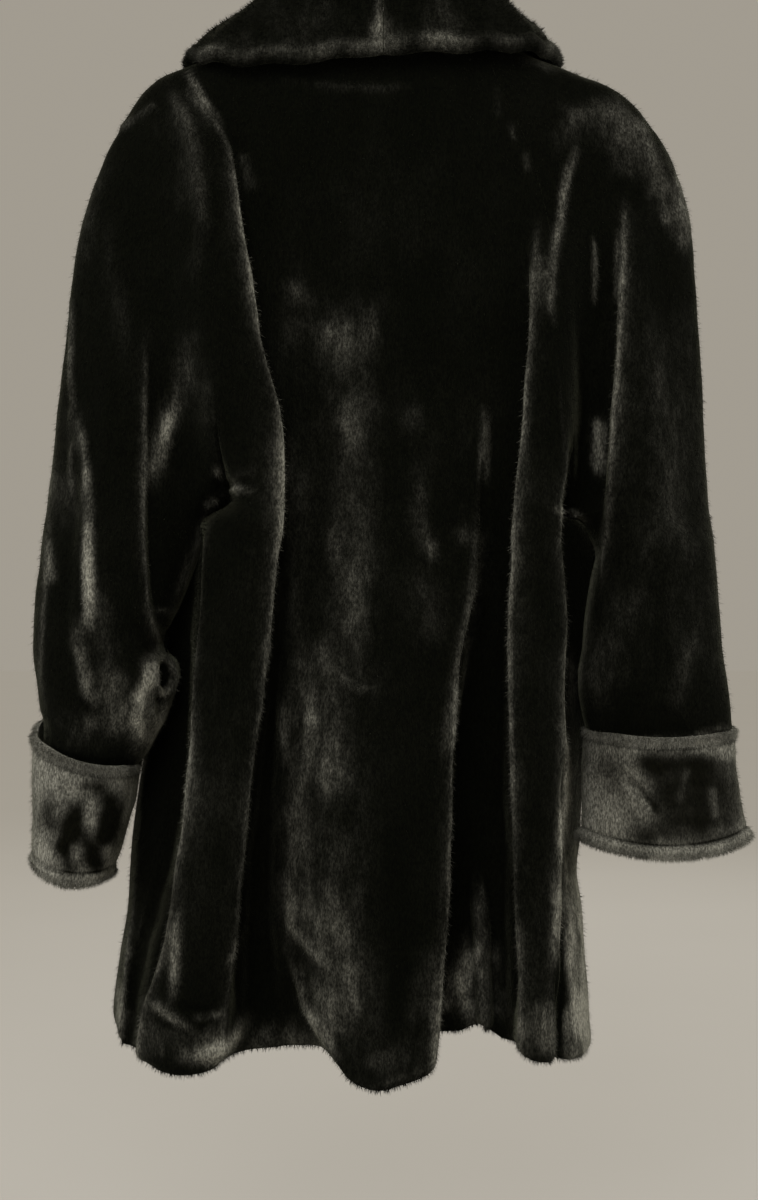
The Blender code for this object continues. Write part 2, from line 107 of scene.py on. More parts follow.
def read(shape, column, at):
    """Reads a column against the first one: a cubic through its rows with no overshoot."""
    place, value = next(iter(shape.values())), shape[column]
    step = np.diff(place)
    rate = np.diff(value) / step
    slope = np.zeros_like(value)
    product = rate[:-1] * rate[1:]
    total = np.where(product > 0, rate[:-1] + rate[1:], 1.0)
    slope[1:-1] = np.where(product > 0, 2 * product / total, 0.0)
    slope[0], slope[-1] = rate[0], rate[-1]
    at = np.clip(np.asarray(at, float), place[0], place[-1])
    row = np.clip(np.searchsorted(place, at) - 1, 0, len(step) - 1)
    t = (at - place[row]) / step[row]
    start = (1 + 2 * t) * (1 - t) ** 2 * value[row] + t * (1 - t) ** 2 * step[row] * slope[row]
    end = t * t * (3 - 2 * t) * value[row + 1] - t * t * (1 - t) * step[row] * slope[row + 1]
    return start + end


def ease(value):
    """0 to 1 with a soft start and end."""
    t = np.clip(value, 0.0, 1.0)
    return t * t * (3 - 2 * t)


print("a quarter of the way up a soft start:", ease(0.25))

# %% [markdown]
# ## The outline, the seams and the edges
#
# The coat has raglan sleeves: a slanting seam runs from the neck to each underarm, and a
# side seam goes on from there to the hem. The panels could be cut from one closed form,
# but each is a piece of its own here, as it is when sewn. Two panels that meet at a seam
# stop a hair short of each other, so that neither pokes through the other. The underarms
# aren't level, because the coat doesn't hang quite evenly.

# %% Widths down the coat
SEAM = 0.2
NECK, HEM = 138.0, 1008.0
UNDERARM = {"left": 553.0, "right": 567.0}

OUTLINE = table(
    "drop left right",
    (138, 86, 80), (150, 102, 90), (165, 125, 107), (180, 151, 130), (195, 184, 168),
    (210, 207, 203), (235, 222, 225), (270, 237, 243), (330, 257, 260), (420, 268, 267),
    (560, 284, 275), (670, 293, 283), (735, 286, 291), (860, 283, 298),
)
BACK_EDGE = table(
    "drop left right",
    (138, 75, 70), (180, 84, 84), (210, 95, 95), (270, 121, 121), (340, 135, 138),
    (420, 138, 150), (500, 134, 156), (553, 128, 151), (567, 150, 150), (573, 162, 174),
    (600, 178, 191), (650, 190, 191), (690, 196, 188), (740, 202, 183), (800, 212, 174),
    (840, 217, 171), (870, 219, 168), (900, 221, 172), (950, 228, 176), (1005, 234, 180),
    (1020, 235, 182),
)
FRONT_EDGE = table(
    "drop left right",
    (138, 72, 67), (210, 98, 98), (270, 124, 124), (340, 140, 142), (420, 146, 156),
    (500, 140, 160), (553, 128, 151), (567, 150, 150),
)
print("back width at the hem, mm:", round(float(read(BACK_EDGE, "left", HEM)
                                                + read(BACK_EDGE, "right", HEM))))

# %% The front opening, the sleeves' inner sides and the depths
OPENING = table(
    "drop reach",
    (138, 62), (180, 58), (240, 46), (330, 25), (430, 4), (460, 0.5), (1020, 0.5),
)
SLEEVE_INNER = table(
    "drop left right",
    (553, 128, 151), (567, 143, 150), (572, 146, 163), (582, 149, 170), (598, 153, 178),
    (621, 162, 174), (645, 172, 170), (664, 181, 168), (677, 184, 167), (688, 173, 165),
    (698, 170, 163), (710, 173, 163), (731, 180, 166), (747, 188, 170), (764, 197, 172),
    (776, 205, 172), (860, 236, 173),
)
DEPTH = table(
    "drop back front square",
    (138, 38, 36, 2.0), (180, 44, 42, 2.2), (270, 52, 50, 2.6), (420, 54, 54, 3.0),
    (560, 54, 54, 3.0), (760, 54, 52, 3.0), (1020, 52, 52, 3.0),
)
SIDES = table(
    "drop body round_left round_right sleeve deep_left deep_right",
    (553, 0, 34, 12, 0, 50, 50), (567, -8, 54, 12, 3, 50, 50), (573, -12, 62, 36, 5, 50, 50),
    (595, -30, 104, 92, 14, 48, 48), (640, -40, 120, 120, 18, 48, 46),
    (720, -42, 120, 110, 22, 46, 38), (752, -40, 120, 84, 20, 43, 29),
    (860, -36, 90, 60, 18, 40, 26), (1020, -30, 70, 50, 18, 38, 26),
)
print("depth at the waist, mm:", round(float(read(DEPTH, "back", 560)
                                             + read(DEPTH, "front", 560))))

# %% [markdown]
# ## Folds
#
# A heavy pile cloth hung by its shoulders falls into a few long tubes. Each tube starts
# at nothing near a seam and stands out further towards the hem. It could be simulated,
# but these folds have known places, so they are laid in one by one: each row gives the
# tube's two edges, how far it stands out and how wide each flank is. Its crown is
# domed, and its brows lean out over the hollows beside it as soft cloth does.

# %% Describe a fold
# the share of its rise that a fold's crown loses towards its edges
CROWN = 0.34
# how far a brow's lean reaches over the crown, and which share of it moves the edge
BROW_WIDTH, LEAN_SHARE = 26.0, 0.45
# the rise that leans in full, and the flanks that are too gentle to lean
LEAN_RISE = 30.0
GENTLE_FLANK, FLANK_RANGE = 20.0, 16.0


def fold(lean, *rows):
    """A fold's edges, rise and flank widths at each drop; lean is how far its brows hang over."""
    shape = table("drop left right rise wide narrow", *rows)
    shape["lean"] = lean
    return shape


def fold_side(shape, side, drop):
    """A fold's edge, flank width and lean on one side; only a steep flank hangs over."""
    width = read(shape, "wide" if side == "left" else "narrow", drop)
    steep = np.clip((GENTLE_FLANK - width) / FLANK_RANGE, 0, 1)
    lean = shape["lean"] * read(shape, "rise", drop) / LEAN_RISE * steep
    return read(shape, side, drop) - SIGN[side] * LEAN_SHARE * lean, width, lean


def fold_parts(shape, x, drop):
    """A fold's rise and sideways lean at a place."""
    tall = read(shape, "rise", drop)
    left, wide, lean_left = fold_side(shape, "left", drop)
    right, narrow, lean_right = fold_side(shape, "right", drop)
    before = ease(0.5 + (left - x) / wide)
    after = ease(0.5 + (x - right) / narrow)
    across = np.clip((x - right) / (left - right), 0.0, 1.0)
    dome = 1 - CROWN * (2 * across - 1) ** 2
    aside = lean_left * before * (1 - ease((left - x) / BROW_WIDTH))
    aside = aside - lean_right * after * (1 - ease((x - right) / BROW_WIDTH))
    return tall * before * after * dome, aside


def folded(folds, x, drop):
    """The sum of all folds' rises, and of all their leans."""
    tall, aside = np.zeros(x.shape), np.zeros(x.shape)
    for shape in folds.values():
        one_tall, one_aside = fold_parts(shape, x, drop)
        tall, aside = tall + one_tall, aside + one_aside
    return tall, aside


print("a flank hangs over when it is narrower than", GENTLE_FLANK, "mm")

# %% The folds of the back
BACK_FOLDS = {
    "left tube": fold(
        13,
        (215, 190, 156, 0, 40, 12), (270, 182, 124, 12, 64, 7), (340, 174, 114, 22, 90, 6),
        (420, 172, 103, 28, 90, 5), (516, 162, 84, 32, 66, 5), (560, 150, 85, 33, 26, 5),
        (600, 148, 89, 34, 9, 5),
        (700, 152, 100, 36, 6, 5), (800, 156, 113, 38, 5, 5), (848, 163, 117, 37, 6, 5),
        (900, 172, 121, 34, 6, 6), (936, 185, 122, 30, 8, 10), (972, 199, 124, 25, 8, 14),
        (1020, 206, 126, 22, 10, 18),
    ),
    "centre lobe": fold(
        11,
        (470, 40, -84, 0, 60, 12), (560, 56, -79, 10, 60, 7), (630, 62, -71, 19, 56, 5),
        (700, 64, -57, 26, 52, 5), (800, 66, -53, 32, 46, 5), (880, 66, -50, 35, 42, 5),
        (950, 62, -44, 37, 34, 6), (1020, 46, -39, 38, 30, 10),
    ),
    "right tube": fold(
        10,
        (320, -122, -162, 0, 12, 36), (350, -122, -166, 7, 8, 48), (380, -121, -166, 13, 6, 48),
        (420, -119, -164, 18, 5, 44), (490, -114, -158, 22, 5, 20), (530, -110, -149, 25, 5, 7),
        (565, -107, -142, 28, 5, 5),
        (660, -104, -149, 32, 5, 5), (740, -105, -146, 35, 5, 5), (800, -107, -142, 36, 5, 5),
        (880, -108, -142, 35, 5, 5), (940, -110, -142, 34, 6, 6), (1020, -107, -138, 28, 10, 10),
    ),
    "left side": fold(
        5,
        (780, 204, 176, 0, 14, 14), (880, 213, 192, 8, 6, 10), (960, 222, 211, 12, 6, 10),
        (1020, 226, 216, 8, 8, 12),
    ),
    "valley ridge": fold(
        4,
        (850, -70, -84, 0, 8, 8), (920, -74, -89, 12, 7, 7), (1020, -77, -92, 14, 8, 8),
    ),
    "left hollow": fold(
        0,
        (560, 178, 150, 0, 20, 16), (660, 188, 156, -22, 20, 12), (800, 204, 164, -26, 20, 10),
        (880, 210, 180, -22, 12, 12), (960, 216, 200, -16, 8, 10), (1020, 218, 206, -8, 8, 10),
    ),
    "hollow by the left tube": fold(
        0,
        (600, 84, 72, 0, 14, 20), (720, 96, 84, -12, 12, 20), (860, 112, 88, -20, 12, 24),
        (960, 116, 84, -20, 14, 26), (1020, 116, 70, -12, 20, 26),
    ),
    "hollow by the right tube": fold(
        0,
        (560, -80, -106, 0, 16, 16), (680, -62, -102, -20, 12, 12), (960, -46, -106, -26, 12, 12),
        (1020, -44, -106, -12, 14, 14),
    ),
}
print("folds behind:", len(BACK_FOLDS))

# %% The folds of the sleeves
SLEEVE_FOLDS = {
    "left bend": fold(
        8,
        (410, 240, 188, 0, 30, 12), (460, 240, 192, 8, 30, 8), (550, 240, 193, 12, 30, 6),
        (640, 236, 188, 13, 30, 6), (676, 236, 180, 6, 30, 10), (720, 236, 196, 0, 30, 12),
    ),
    "left arm": fold(
        6,
        (360, 262, 238, 0, 16, 24), (470, 260, 238, 4, 13, 30), (560, 252, 230, 8, 12, 30),
        (640, 253, 230, 7, 12, 30), (720, 250, 222, 0, 16, 30),
    ),
    "right roll": fold(
        9,
        (300, -194, -225, 0, 14, 50), (350, -195, -230, 10, 6, 50), (430, -191, -235, 16, 5, 50),
        (520, -185, -235, 17, 5, 50), (595, -178, -235, 8, 8, 50), (650, -172, -235, 0, 14, 50),
    ),
    "right hollow": fold(
        0,
        (330, -152, -186, 0, 14, 14), (430, -152, -184, -7, 14, 12),
        (520, -158, -180, -12, 10, 12), (560, -160, -178, 0, 10, 12),
    ),
}
print("folds on the sleeves:", len(SLEEVE_FOLDS))

# %% The folds of the fronts
FRONT_FOLDS = {
    "left chest": fold(
        8,
        (300, 130, 96, 0, 40, 20), (400, 133, 90, 7, 40, 12), (520, 126, 80, 13, 30, 8),
        (640, 124, 76, 17, 18, 6), (760, 134, 84, 20, 9, 6), (880, 147, 97, 20, 7, 7),
        (960, 157, 100, 19, 8, 9), (1020, 162, 97, 17, 10, 12),
    ),
    "left edge": fold(
        5,
        (540, 52, 36, 0, 24, 24), (660, 57, 29, 8, 18, 12), (800, 62, 22, 13, 12, 9),
        (920, 59, 20, 14, 9, 10), (1020, 68, 27, 13, 10, 14),
    ),
    "right chest": fold(
        8,
        (330, -85, -116, 0, 14, 30), (450, -78, -120, 8, 8, 26), (600, -85, -129, 14, 6, 14),
        (740, -93, -126, 18, 6, 8), (880, -87, -135, 19, 7, 7), (1020, -95, -143, 15, 10, 12),
    ),
    "right edge": fold(
        5,
        (620, -27, -49, 0, 20, 20), (760, -20, -54, 9, 12, 12), (900, -27, -61, 13, 9, 10),
        (1020, -22, -56, 12, 12, 14),
    ),
}
print("folds in front:", len(FRONT_FOLDS))

# %% [markdown]
# ## The painted highlight along a fold
#
# A fold's brow, seen edge on, catches the light as a thin pale line where the pile bends
# over it. That line is a painted highlight here, not made by the lamps. How pale it is
# changes from brow to brow, which nothing else in the shape tells. So each brow has its
# own table of painted highlight at each drop. It is kept in the nap, a number on every
# point of the cloth that the material reads later.

# %% How brightly the brows behind shine
BROW_HIGHLIGHTS = {
    "left tube": table(
        "drop left right",
        (205, 0, 0), (250, 0, 0.34), (300, 0, 0.36), (382, 0, 0.58), (440, 0, 0.4),
        (520, 0, 0.56), (600, 0.08, 0.34), (650, 0.2, 0.36), (722, 0.36, 0.3), (800, 0.42, 0.25),
        (850, 0.3, 0.17), (900, 0.34, 0.13), (960, 0.36, 0.16), (1020, 0.28, 0.1),
    ),
    "centre lobe": table(
        "drop left right",
        (600, 0, 0), (680, 0, 0.1), (760, 0, 0.28), (850, 0, 0.22), (930, 0, 0.3),
        (1020, 0, 0.22),
    ),
    "right tube": table(
        "drop left right",
        (320, 0, 0), (400, 0.34, 0), (467, 0.38, 0), (552, 0.48, 0.12), (637, 0.36, 0.38),
        (722, 0.22, 0.42), (765, 0.17, 0.34), (892, 0.25, 0.26), (1020, 0.2, 0.2),
    ),
    "left side": table("drop left right", (800, 0, 0), (900, 0.12, 0), (1020, 0.18, 0)),
    "valley ridge": table("drop left right", (870, 0, 0), (930, 0.12, 0.06), (1020, 0.2, 0.1)),
    "left bend": table(
        "drop left right", (410, 0, 0), (480, 0, 0.16), (540, 0, 0.2), (600, 0, 0.24),
        (660, 0, 0.3), (690, 0, 0),
    ),
    "right roll": table(
        "drop left right", (300, 0, 0), (350, 0.3, 0), (425, 0.36, 0), (510, 0.48, 0),
        (595, 0.24, 0), (640, 0, 0),
    ),
}
print("shining folds behind:", len(BROW_HIGHLIGHTS))

# %% How brightly the brows in front shine
BROW_HIGHLIGHTS |= {
    "left chest": table(
        "drop left right", (330, 0, 0), (460, 0, 0.32), (620, 0.12, 0.4), (760, 0.34, 0.26),
        (900, 0.26, 0.34), (1020, 0.34, 0.2),
    ),
    "left edge": table(
        "drop left right", (600, 0, 0), (760, 0.24, 0.12), (900, 0.14, 0.3), (1020, 0.28, 0.2),
    ),
    "right chest": table(
        "drop left right", (360, 0, 0), (500, 0.34, 0), (660, 0.24, 0.14), (800, 0.36, 0.34),
        (900, 0.2, 0.28), (1020, 0.3, 0.34),
    ),
    "right edge": table(
        "drop left right", (660, 0, 0), (800, 0.2, 0.24), (1020, 0.28, 0.14),
    ),
}
print("shining folds, all told:", len(BROW_HIGHLIGHTS))

# %% Turn a brow's table into painted highlight
# how fast the shine fades inwards from a brow, and the share that fades slowly
BROW_NEAR, BROW_FAR = 2.5, 8.0
BROW_SHARE = 0.18
# how fast it fades down the flank, as a share of the flank's width
FLANK_SHARE = 0.35


def painted_brow_light(folds, x, drop):
    """Painted highlight: nap rising over the last few millimetres to a brow, fading on its flank.
    """
    nap_and_light = np.zeros(x.shape)
    for name, shine in BROW_HIGHLIGHTS.items():
        for side in SIGN if name in folds else ():
            edge, width, _ = fold_side(folds[name], side, drop)
            inside = SIGN[side] * (edge - x) - width / 2
            near = ((1 - BROW_SHARE) * np.exp(-inside / BROW_NEAR)
                    + BROW_SHARE * np.exp(-inside / BROW_FAR))
            flank = np.exp(inside / (FLANK_SHARE * width))
            nap_and_light = nap_and_light + read(shine, side, drop) * np.where(inside > 0, near, flank)
    return nap_and_light


print("on a flank 10 mm wide, the shine halves in",
      round(float(np.log(2) * FLANK_SHARE * 10), 1), "mm")

# %% [markdown]
# ## Level sections
#
# Above the underarms one closed curve runs round both sleeves and the body. Below them
# it parts into three, like a loaf cut at two places. Sculpting such a branching form
# leaves its joins uneven. So a place on the cloth is worked out from its sideways
# position and its height, and the two kinds of section are blended just above the
# underarm.

# %% The section of the whole coat
# how far above the underarm sleeve and body start to part: at the seam, and away from it
PINCH_REACH, PINCH_AWAY = 85.0, 190.0
# how far from the seam the second begins, and how suddenly the first opens
PINCH_SPREAD = {"left": 42.0, "right": 15.0}
PINCH_HASTE = 0.6


def bulge(value):
    """A round shoulder: 0 at the edge, rising steeply to 1 where value reaches 1."""
    return np.sqrt(1 - (1 - np.clip(value, 0.0, 1.0)) ** 2)


def pinch(side, drop, from_seam):
    """0 where sleeve and body share one section, 1 from the underarm down."""
    above = np.clip(UNDERARM[side] - drop, 0.0, None)
    at_seam = 1 - np.sin(np.pi / 2 * np.clip(above / PINCH_REACH, 0.0, 1.0)) ** PINCH_HASTE
    away = 1 - ease(above / PINCH_AWAY)
    near = ease(from_seam / PINCH_SPREAD[side])
    return (1 - near) * at_seam + near * away


def shared(x, drop, face):
    """Back (face +1) or front (-1) of the section that runs round sleeves and body."""
    reach = np.where(x > 0, read(OUTLINE, "left", drop), read(OUTLINE, "right", drop))
    power = read(DEPTH, "square", drop)
    round_off = (1 - np.clip(np.abs(x) / reach, 0.0, 1.0) ** power) ** (1 / power)
    if face > 0:
        tall, aside = folded({**BACK_FOLDS, **SLEEVE_FOLDS}, x, drop)
        return (read(DEPTH, "back", drop) + tall) * round_off, aside * round_off
    tall, aside = folded(FRONT_FOLDS, x, drop)
    return -(read(DEPTH, "front", drop) + tall) * round_off, aside * round_off


print("how far the sleeve has parted, half way:",
      round(float(pinch("left", UNDERARM["left"] - PINCH_REACH / 2, 0.0)), 2))


# %% The sections of the body and of a sleeve
SLEEVE_ROUND = 2.2


def body_section(x, drop, face):
    """Depth and lean of the body's back or front."""
    edge = BACK_EDGE if face > 0 else FRONT_EDGE
    close = np.where(x > 0, pinch("left", drop, read(edge, "left", drop) - x),
                     pinch("right", drop, read(edge, "right", drop) + x))
    left = read(BACK_EDGE, "left", drop) - SEAM / 2 - x
    right = read(BACK_EDGE, "right", drop) - SEAM / 2 + x
    seam = read(SIDES, "body", drop)
    corner = bulge(left / read(SIDES, "round_left", drop))
    corner = corner * bulge(right / read(SIDES, "round_right", drop))
    tall, aside = folded(BACK_FOLDS if face > 0 else FRONT_FOLDS, x, drop)
    level = face * (read(DEPTH, "back" if face > 0 else "front", drop) + tall)
    below = seam + face * SEAM / 2 + (level - seam) * corner
    above, above_aside = shared(x, drop, face)
    return ((1 - close) * above + close * below,
            (1 - close) * above_aside + close * aside * corner)


def sleeve_edge(side, drop, face):
    """The sleeve's inner edge: the raglan seam, and under the arm the tube's inner side."""
    seam = BACK_EDGE if face > 0 else FRONT_EDGE
    return np.where(drop < UNDERARM[side], read(seam, side, drop), read(SLEEVE_INNER, side, drop))


def sleeve_section(side, x, drop, face):
    """Depth and lean of a sleeve's back or front."""
    outer = read(OUTLINE, side, drop)
    inner = sleeve_edge(side, drop, face) + SEAM / 2
    close = pinch(side, drop, np.abs(x) - inner)
    middle = (outer + inner) / 2
    across = np.clip(np.abs(np.abs(x) - middle) / (outer - middle), 0.0, 1.0)
    round_off = (1 - across**SLEEVE_ROUND) ** (1 / SLEEVE_ROUND)
    tall, aside = folded(SLEEVE_FOLDS, x, drop) if face > 0 else (0.0, 0.0)
    deep = read(SIDES, "deep_" + side, drop)
    tube = read(SIDES, "sleeve", drop) + face * (deep + tall) * round_off
    above, above_aside = shared(x, drop, face)
    return ((1 - close) * above + close * tube,
            (1 - close) * above_aside + close * aside * round_off)


print("the back's middle stands out at the hem, mm:",
      round(float(body_section(np.zeros(1), np.full(1, HEM), 1.0)[0][0])))

# %% [markdown]
# ## From sections to a grid
#
# Each panel is a grid of points, as if the cloth had been ruled before it was sewn. With
# evenly spaced columns the steep flank of a fold would get too few points to look round.
# So the columns are spaced along the cloth, and a flank gets as many as the flat beside
# it. The grid is then moved a little along its own surface direction: outwards and
# inwards for creases and seams, and inwards for its lining side.

# %% Space the columns evenly along the cloth
# places tried along a row before its columns are spaced
LATTICE = 900
# rows that a column is smoothed over, and the part of the row that is left alone
SETTLE_ROWS, SETTLE_MARGIN = 15, 0.12


def settled(x):
    """Keeps the inner columns from jumping sideways between rows."""
    weight = np.hanning(SETTLE_ROWS + 2)[1:-1]
    weight, half = weight / weight.sum(), SETTLE_ROWS // 2
    padded = np.concatenate((x[:1].repeat(half, 0), x, x[-1:].repeat(half, 0)))
    smooth = sum(w * padded[k:k + len(x)] for k, w in enumerate(weight))
    column = np.arange(x.shape[1])
    inside = ease(np.minimum(column, column[::-1]) / (SETTLE_MARGIN * x.shape[1]))
    return x + (smooth - x) * inside


def evenly(start, end, place, folds, drops, count):
    """A grid from start to end on each row, evenly along the cloth, and its painted brow highlight.
    """
    drop = drops[:, None] + np.zeros((1, LATTICE))
    spread = (1 - np.cos(np.linspace(0, np.pi, LATTICE))) / 2
    fine = start[:, None] + (end - start)[:, None] * spread
    x, y, _ = place(fine, drop)
    length = np.hypot(np.diff(x, axis=1), np.diff(y, axis=1)) + 1e-6
    length = np.concatenate((np.zeros((len(drops), 1)), np.cumsum(length, axis=1)), axis=1)
    even = np.array([np.interp(np.linspace(0, far[-1], count), far, row)
                     for far, row in zip(length, fine)])
    even, drop = settled(even), drop[:, :count]
    x, y, low = place(even, drop)
    return np.stack((x, y, -low), axis=2), painted_brow_light(folds, even, drop)


def facing(grid):
    """The surface direction at each point of a grid."""
    out = np.cross(np.gradient(grid, axis=0), np.gradient(grid, axis=1))
    return out / np.maximum(np.linalg.norm(out, axis=2), 1e-9)[:, :, None]


def lengths(grid, axis):
    """How far along the cloth each point lies from the grid's first row or column."""
    step = np.linalg.norm(np.diff(grid, axis=axis), axis=2)
    start = np.zeros_like(np.take(step, [0], axis=axis))
    return np.concatenate((start, np.cumsum(step, axis=axis)), axis=axis)


print("places tried along each row before spacing:", LATTICE)

# %% [markdown]
# ## Where the back, the fronts and the sleeves lie
#
# The hem is cut level, but it hangs in scallops, lower under each tube than between two.
# It is let down here, at the end, so that all the tables above can use plain drops. The
# back's neck is let down in its middle too, where a real one is cut in a curve.

# %% Places on the back, fronts and sleeves
NECK_DIP = 12.0
NECK_HALF = 75.0
NECK_FADE = 60.0
HEM_START = 820.0
HEM_DIP = table(
    "x behind before",
    (-181, 10, 10), (-173, 12, 10), (-158, 10, 8), (-133, 3, 5), (-125, 2, 3), (-110, -6, 0),
    (-99, -8, -1), (-90, -17, 0), (-75, -20, 4), (-63, -14, 8), (-48, -14, 8), (-39, 4, 7),
    (-13, 19, 4), (3, 22, 3), (19, 19, 4), (31, 13, 6), (41, 2, 8), (55, -5, 10), (75, -3, 7),
    (91, 0, 2), (105, 1, -2), (116, 2, -3), (128, 5, -1), (144, 12, 6), (163, 14, 10),
    (180, 12, 8), (193, 6, 3), (206, 4, -3), (216, 1, -6), (226, -6, -9), (235, -14, -12),
)


def hang(x, drop, side):
    """Lets the hem hang lower under its lobes."""
    return drop + read(HEM_DIP, side, x) * ease((drop - HEM_START) / (HEM - HEM_START))


def back_place(x, drop):
    """A place on the back."""
    y, aside = body_section(x, drop, 1.0)
    fade = 1 - ease((drop - NECK) / NECK_FADE)
    low = drop + NECK_DIP * np.clip(1 - (x / NECK_HALF) ** 2, 0, 1) * fade
    return x + aside, y, hang(x, low, "behind")


def front_place(x, drop):
    """A place on either front."""
    y, aside = body_section(x, drop, -1.0)
    return x + aside, y, hang(x, drop, "before")


def sleeve_place(side, face):
    """Places on the back (1) or front (-1) half of a sleeve."""
    def place(x, drop):
        y, aside = sleeve_section(side, x, drop, face)
        return x + aside, y, drop
    return place


print("the hem's deepest scallop, mm:", HEM_DIP["behind"].max())

# %% [markdown]
# ## Brushed marks, painted highlights and shade, and small creases
#
# Pile that is brushed or crushed lies another way and looks paler. It also catches the
# light, most of all along folds, and the strokes paint that too: highlights along the
# edges of folds and ridges, and shade in small creases. A noise pattern could scatter
# such marks, but a real coat carries them where it was handled and where it bends. So
# they are laid on one by one as soft strokes, and each may also lift or sink the cloth a
# little. Their places are given as seen from one step away, behind the coat or before it,
# because that is where someone who looks at it would point. Small waves make their edges
# ragged.

# %% Waves too small to name
WAVES = 9
WAVE_STRETCH = (1.0, 1.0, 0.6)
WAVE_SIZES = (0.6, 1.5)


def wander(grid, size, seed):
    """A gentle uneven wave over a grid, about -1 to 1, with features of the given size."""
    generator = np.random.default_rng(seed)
    total = np.zeros(grid.shape[:2])
    for _ in range(WAVES):
        direction = generator.normal(size=3) * WAVE_STRETCH
        direction = direction / np.linalg.norm(direction) * generator.uniform(*WAVE_SIZES)
        total = total + np.sin(2 * np.pi / size * grid @ direction + generator.uniform(0, 7))
    return total / 4


def waved(value, grid, *rows):
    """Adds waves to a value, each (height, size, seed)."""
    for height, size, seed in rows:
        value = value + height * wander(grid, size, seed)
    return value


print("a wave at one place:", round(float(wander(np.zeros((1, 1, 3)), 90, 11)[0, 0]), 2))

# %% See a grid from one step away
def seen(grid, face):
    """Sideways places and drops as they look from one step behind (1) or in front (-1)."""
    aside, level, step = CAMERA_ASIDE / MM, CAMERA_DROP, CAMERA_BACK / MM
    scale = step / (step - face * grid[:, :, 1])
    return aside + (grid[:, :, 0] - aside) * scale, level - (grid[:, :, 2] + level) * scale


def near_path(path, x, drop):
    """Distance to a path, and how far along it (0 to 1) the nearest place lies."""
    path = np.array(path, float)
    nearest, part = np.full(x.shape, 1e9), np.zeros(x.shape)
    for k, (first, second) in enumerate(zip(path[:-1], path[1:])):
        step = second - first
        t = ((x - first[0]) * step[0] + (drop - first[1]) * step[1]) / (step @ step)
        t = np.clip(t, 0.0, 1.0)
        gap = np.hypot(x - first[0] - t * step[0], drop - first[1] - t * step[1])
        part = np.where(gap < nearest, (k + t) / (len(path) - 1), part)
        nearest = np.minimum(gap, nearest)
    return nearest, part


print("a place 3 mm beside a path:", float(near_path([(0, 0), (0, 9)], np.array(3), 4)[0]))

# %% Brush strokes of nap, painted highlight and painted shade onto a grid
# a stroke is clean up to this width, and fully ragged this much above it
FINE_STROKE, BROAD_STROKE = 3.0, 12.0
RAGGED_ASIDE = (2, 75, 3), (4, 26, 4), (2.5, 11, 5)
RAGGED_DOWN = (3, 90, 6), (6, 30, 7)
STROKE_ENDS = (0.03, 0.97)
# strokes fade out where the cloth turns away from the side they are seen from
TURNED_AWAY, TURN_SOFT = 0.35, 0.5


# the strokes carry brushed patches, painted highlights and painted shade
def nap_and_light_strokes(rows, grid, outward, face, rough=1.0):
    """Sums soft strokes, each (nap, height, width, path), where the cloth faces that way."""
    x, drop = seen(grid, face)
    aside = waved(0.0, grid, *RAGGED_ASIDE)
    down = waved(0.0, grid, *RAGGED_DOWN)
    nap_and_light, height = np.zeros(x.shape), np.zeros(x.shape)
    for shine, rise, width, path in rows:
        # a single place becomes a stroke one millimetre long
        path = path if len(path) > 1 else [path[0], (path[0][0], path[0][1] + 1)]
        ragged = rough * ease((width - FINE_STROKE) / BROAD_STROKE)
        gap, part = near_path(path, x + ragged * aside, drop + ragged * down)
        fade = np.sin(np.pi * np.clip(part, *STROKE_ENDS)) ** 0.5 if len(path) > 2 else 1.0
        spot = np.exp(-((gap / width) ** 2)) * fade
        nap_and_light, height = nap_and_light + shine * spot, height + rise * spot
    toward = ease((outward[:, :, 1] * face + TURNED_AWAY) / TURN_SOFT)
    return nap_and_light * toward, height * toward


print("strokes get ragged edges from a width of", FINE_STROKE, "mm")

# %% [markdown]
# ## The strokes themselves
#
# Each row below is one stroke: how much it lightens or darkens the nap, how many
# millimetres it lifts or sinks the cloth, how wide it is, and the places it passes
# through. Thin pale strokes are painted highlights along the edges of folds and creases,
# thin dark ones are painted shade in creases, and broad faint ones give the cloudy sheen
# of pile that has been handled. Where sleeve and body bunch up at the underarm and elbow,
# short curved strokes stand for the small creases, with their highlights and shade painted.

# %% Marks seen from behind, on the shoulders
SHOULDER_MARKS = [
    # painted highlights along the upper edges of the two tubes, with softer ones beside them
    (0.3, 0, 3.4, [(168, 186), (164, 192), (153, 212), (141, 226), (136, 236)]),
    (0.14, 0, 5, [(118, 262), (113, 284)]), (0.05, 0, 16, [(176, 230), (162, 300)]),
    (0.12, 5, 6, [(184, 200), (173, 220), (163, 240), (157, 278), (152, 312), (156, 338),
                  (161, 362)]),
    # the second stroke on this line is painted light on the right shoulder, in the shade under the
    # collar's end
    (0.17, 2, 4, [(196, 218), (222, 235)]), (0.2, 0, 6, [(-114, 175), (-130, 178), (-146, 185)]),
    (0.4, 2, 4, [(-164, 256), (-157, 274), (-154, 289), (-150, 317), (-146, 338),
                  (-144, 365), (-142, 383), (-146, 400)]),
    (0.1, 0, 4, [(-97, 205), (-97, 222)]), (0.1, 0, 3, [(-108, 234), (-111, 244)]),
    (0.1, 0, 3, [(-121, 260), (-123, 270)]),
    # painted highlights on the small creases at the left underarm, then on the right underarm's
    # edge
    (0.24, 3, 3, [(144, 552), (134, 545), (124, 543), (112, 545)]), (0.26, 2, 4, [(141, 527)]),
    (0.2, 3, 3, [(150, 557), (143, 552)]), (0.2, 0, 3, [(128, 538), (124, 546)]),
    (0, -3, 5, [(138, 540), (118, 538)]), (0.06, 2, 4, [(134, 534), (112, 529)]),
    (0.5, 2, 3, [(-148, 562), (-158, 563), (-167, 565), (-176, 570)]),
]
print("marks on the shoulders:", len(SHOULDER_MARKS))

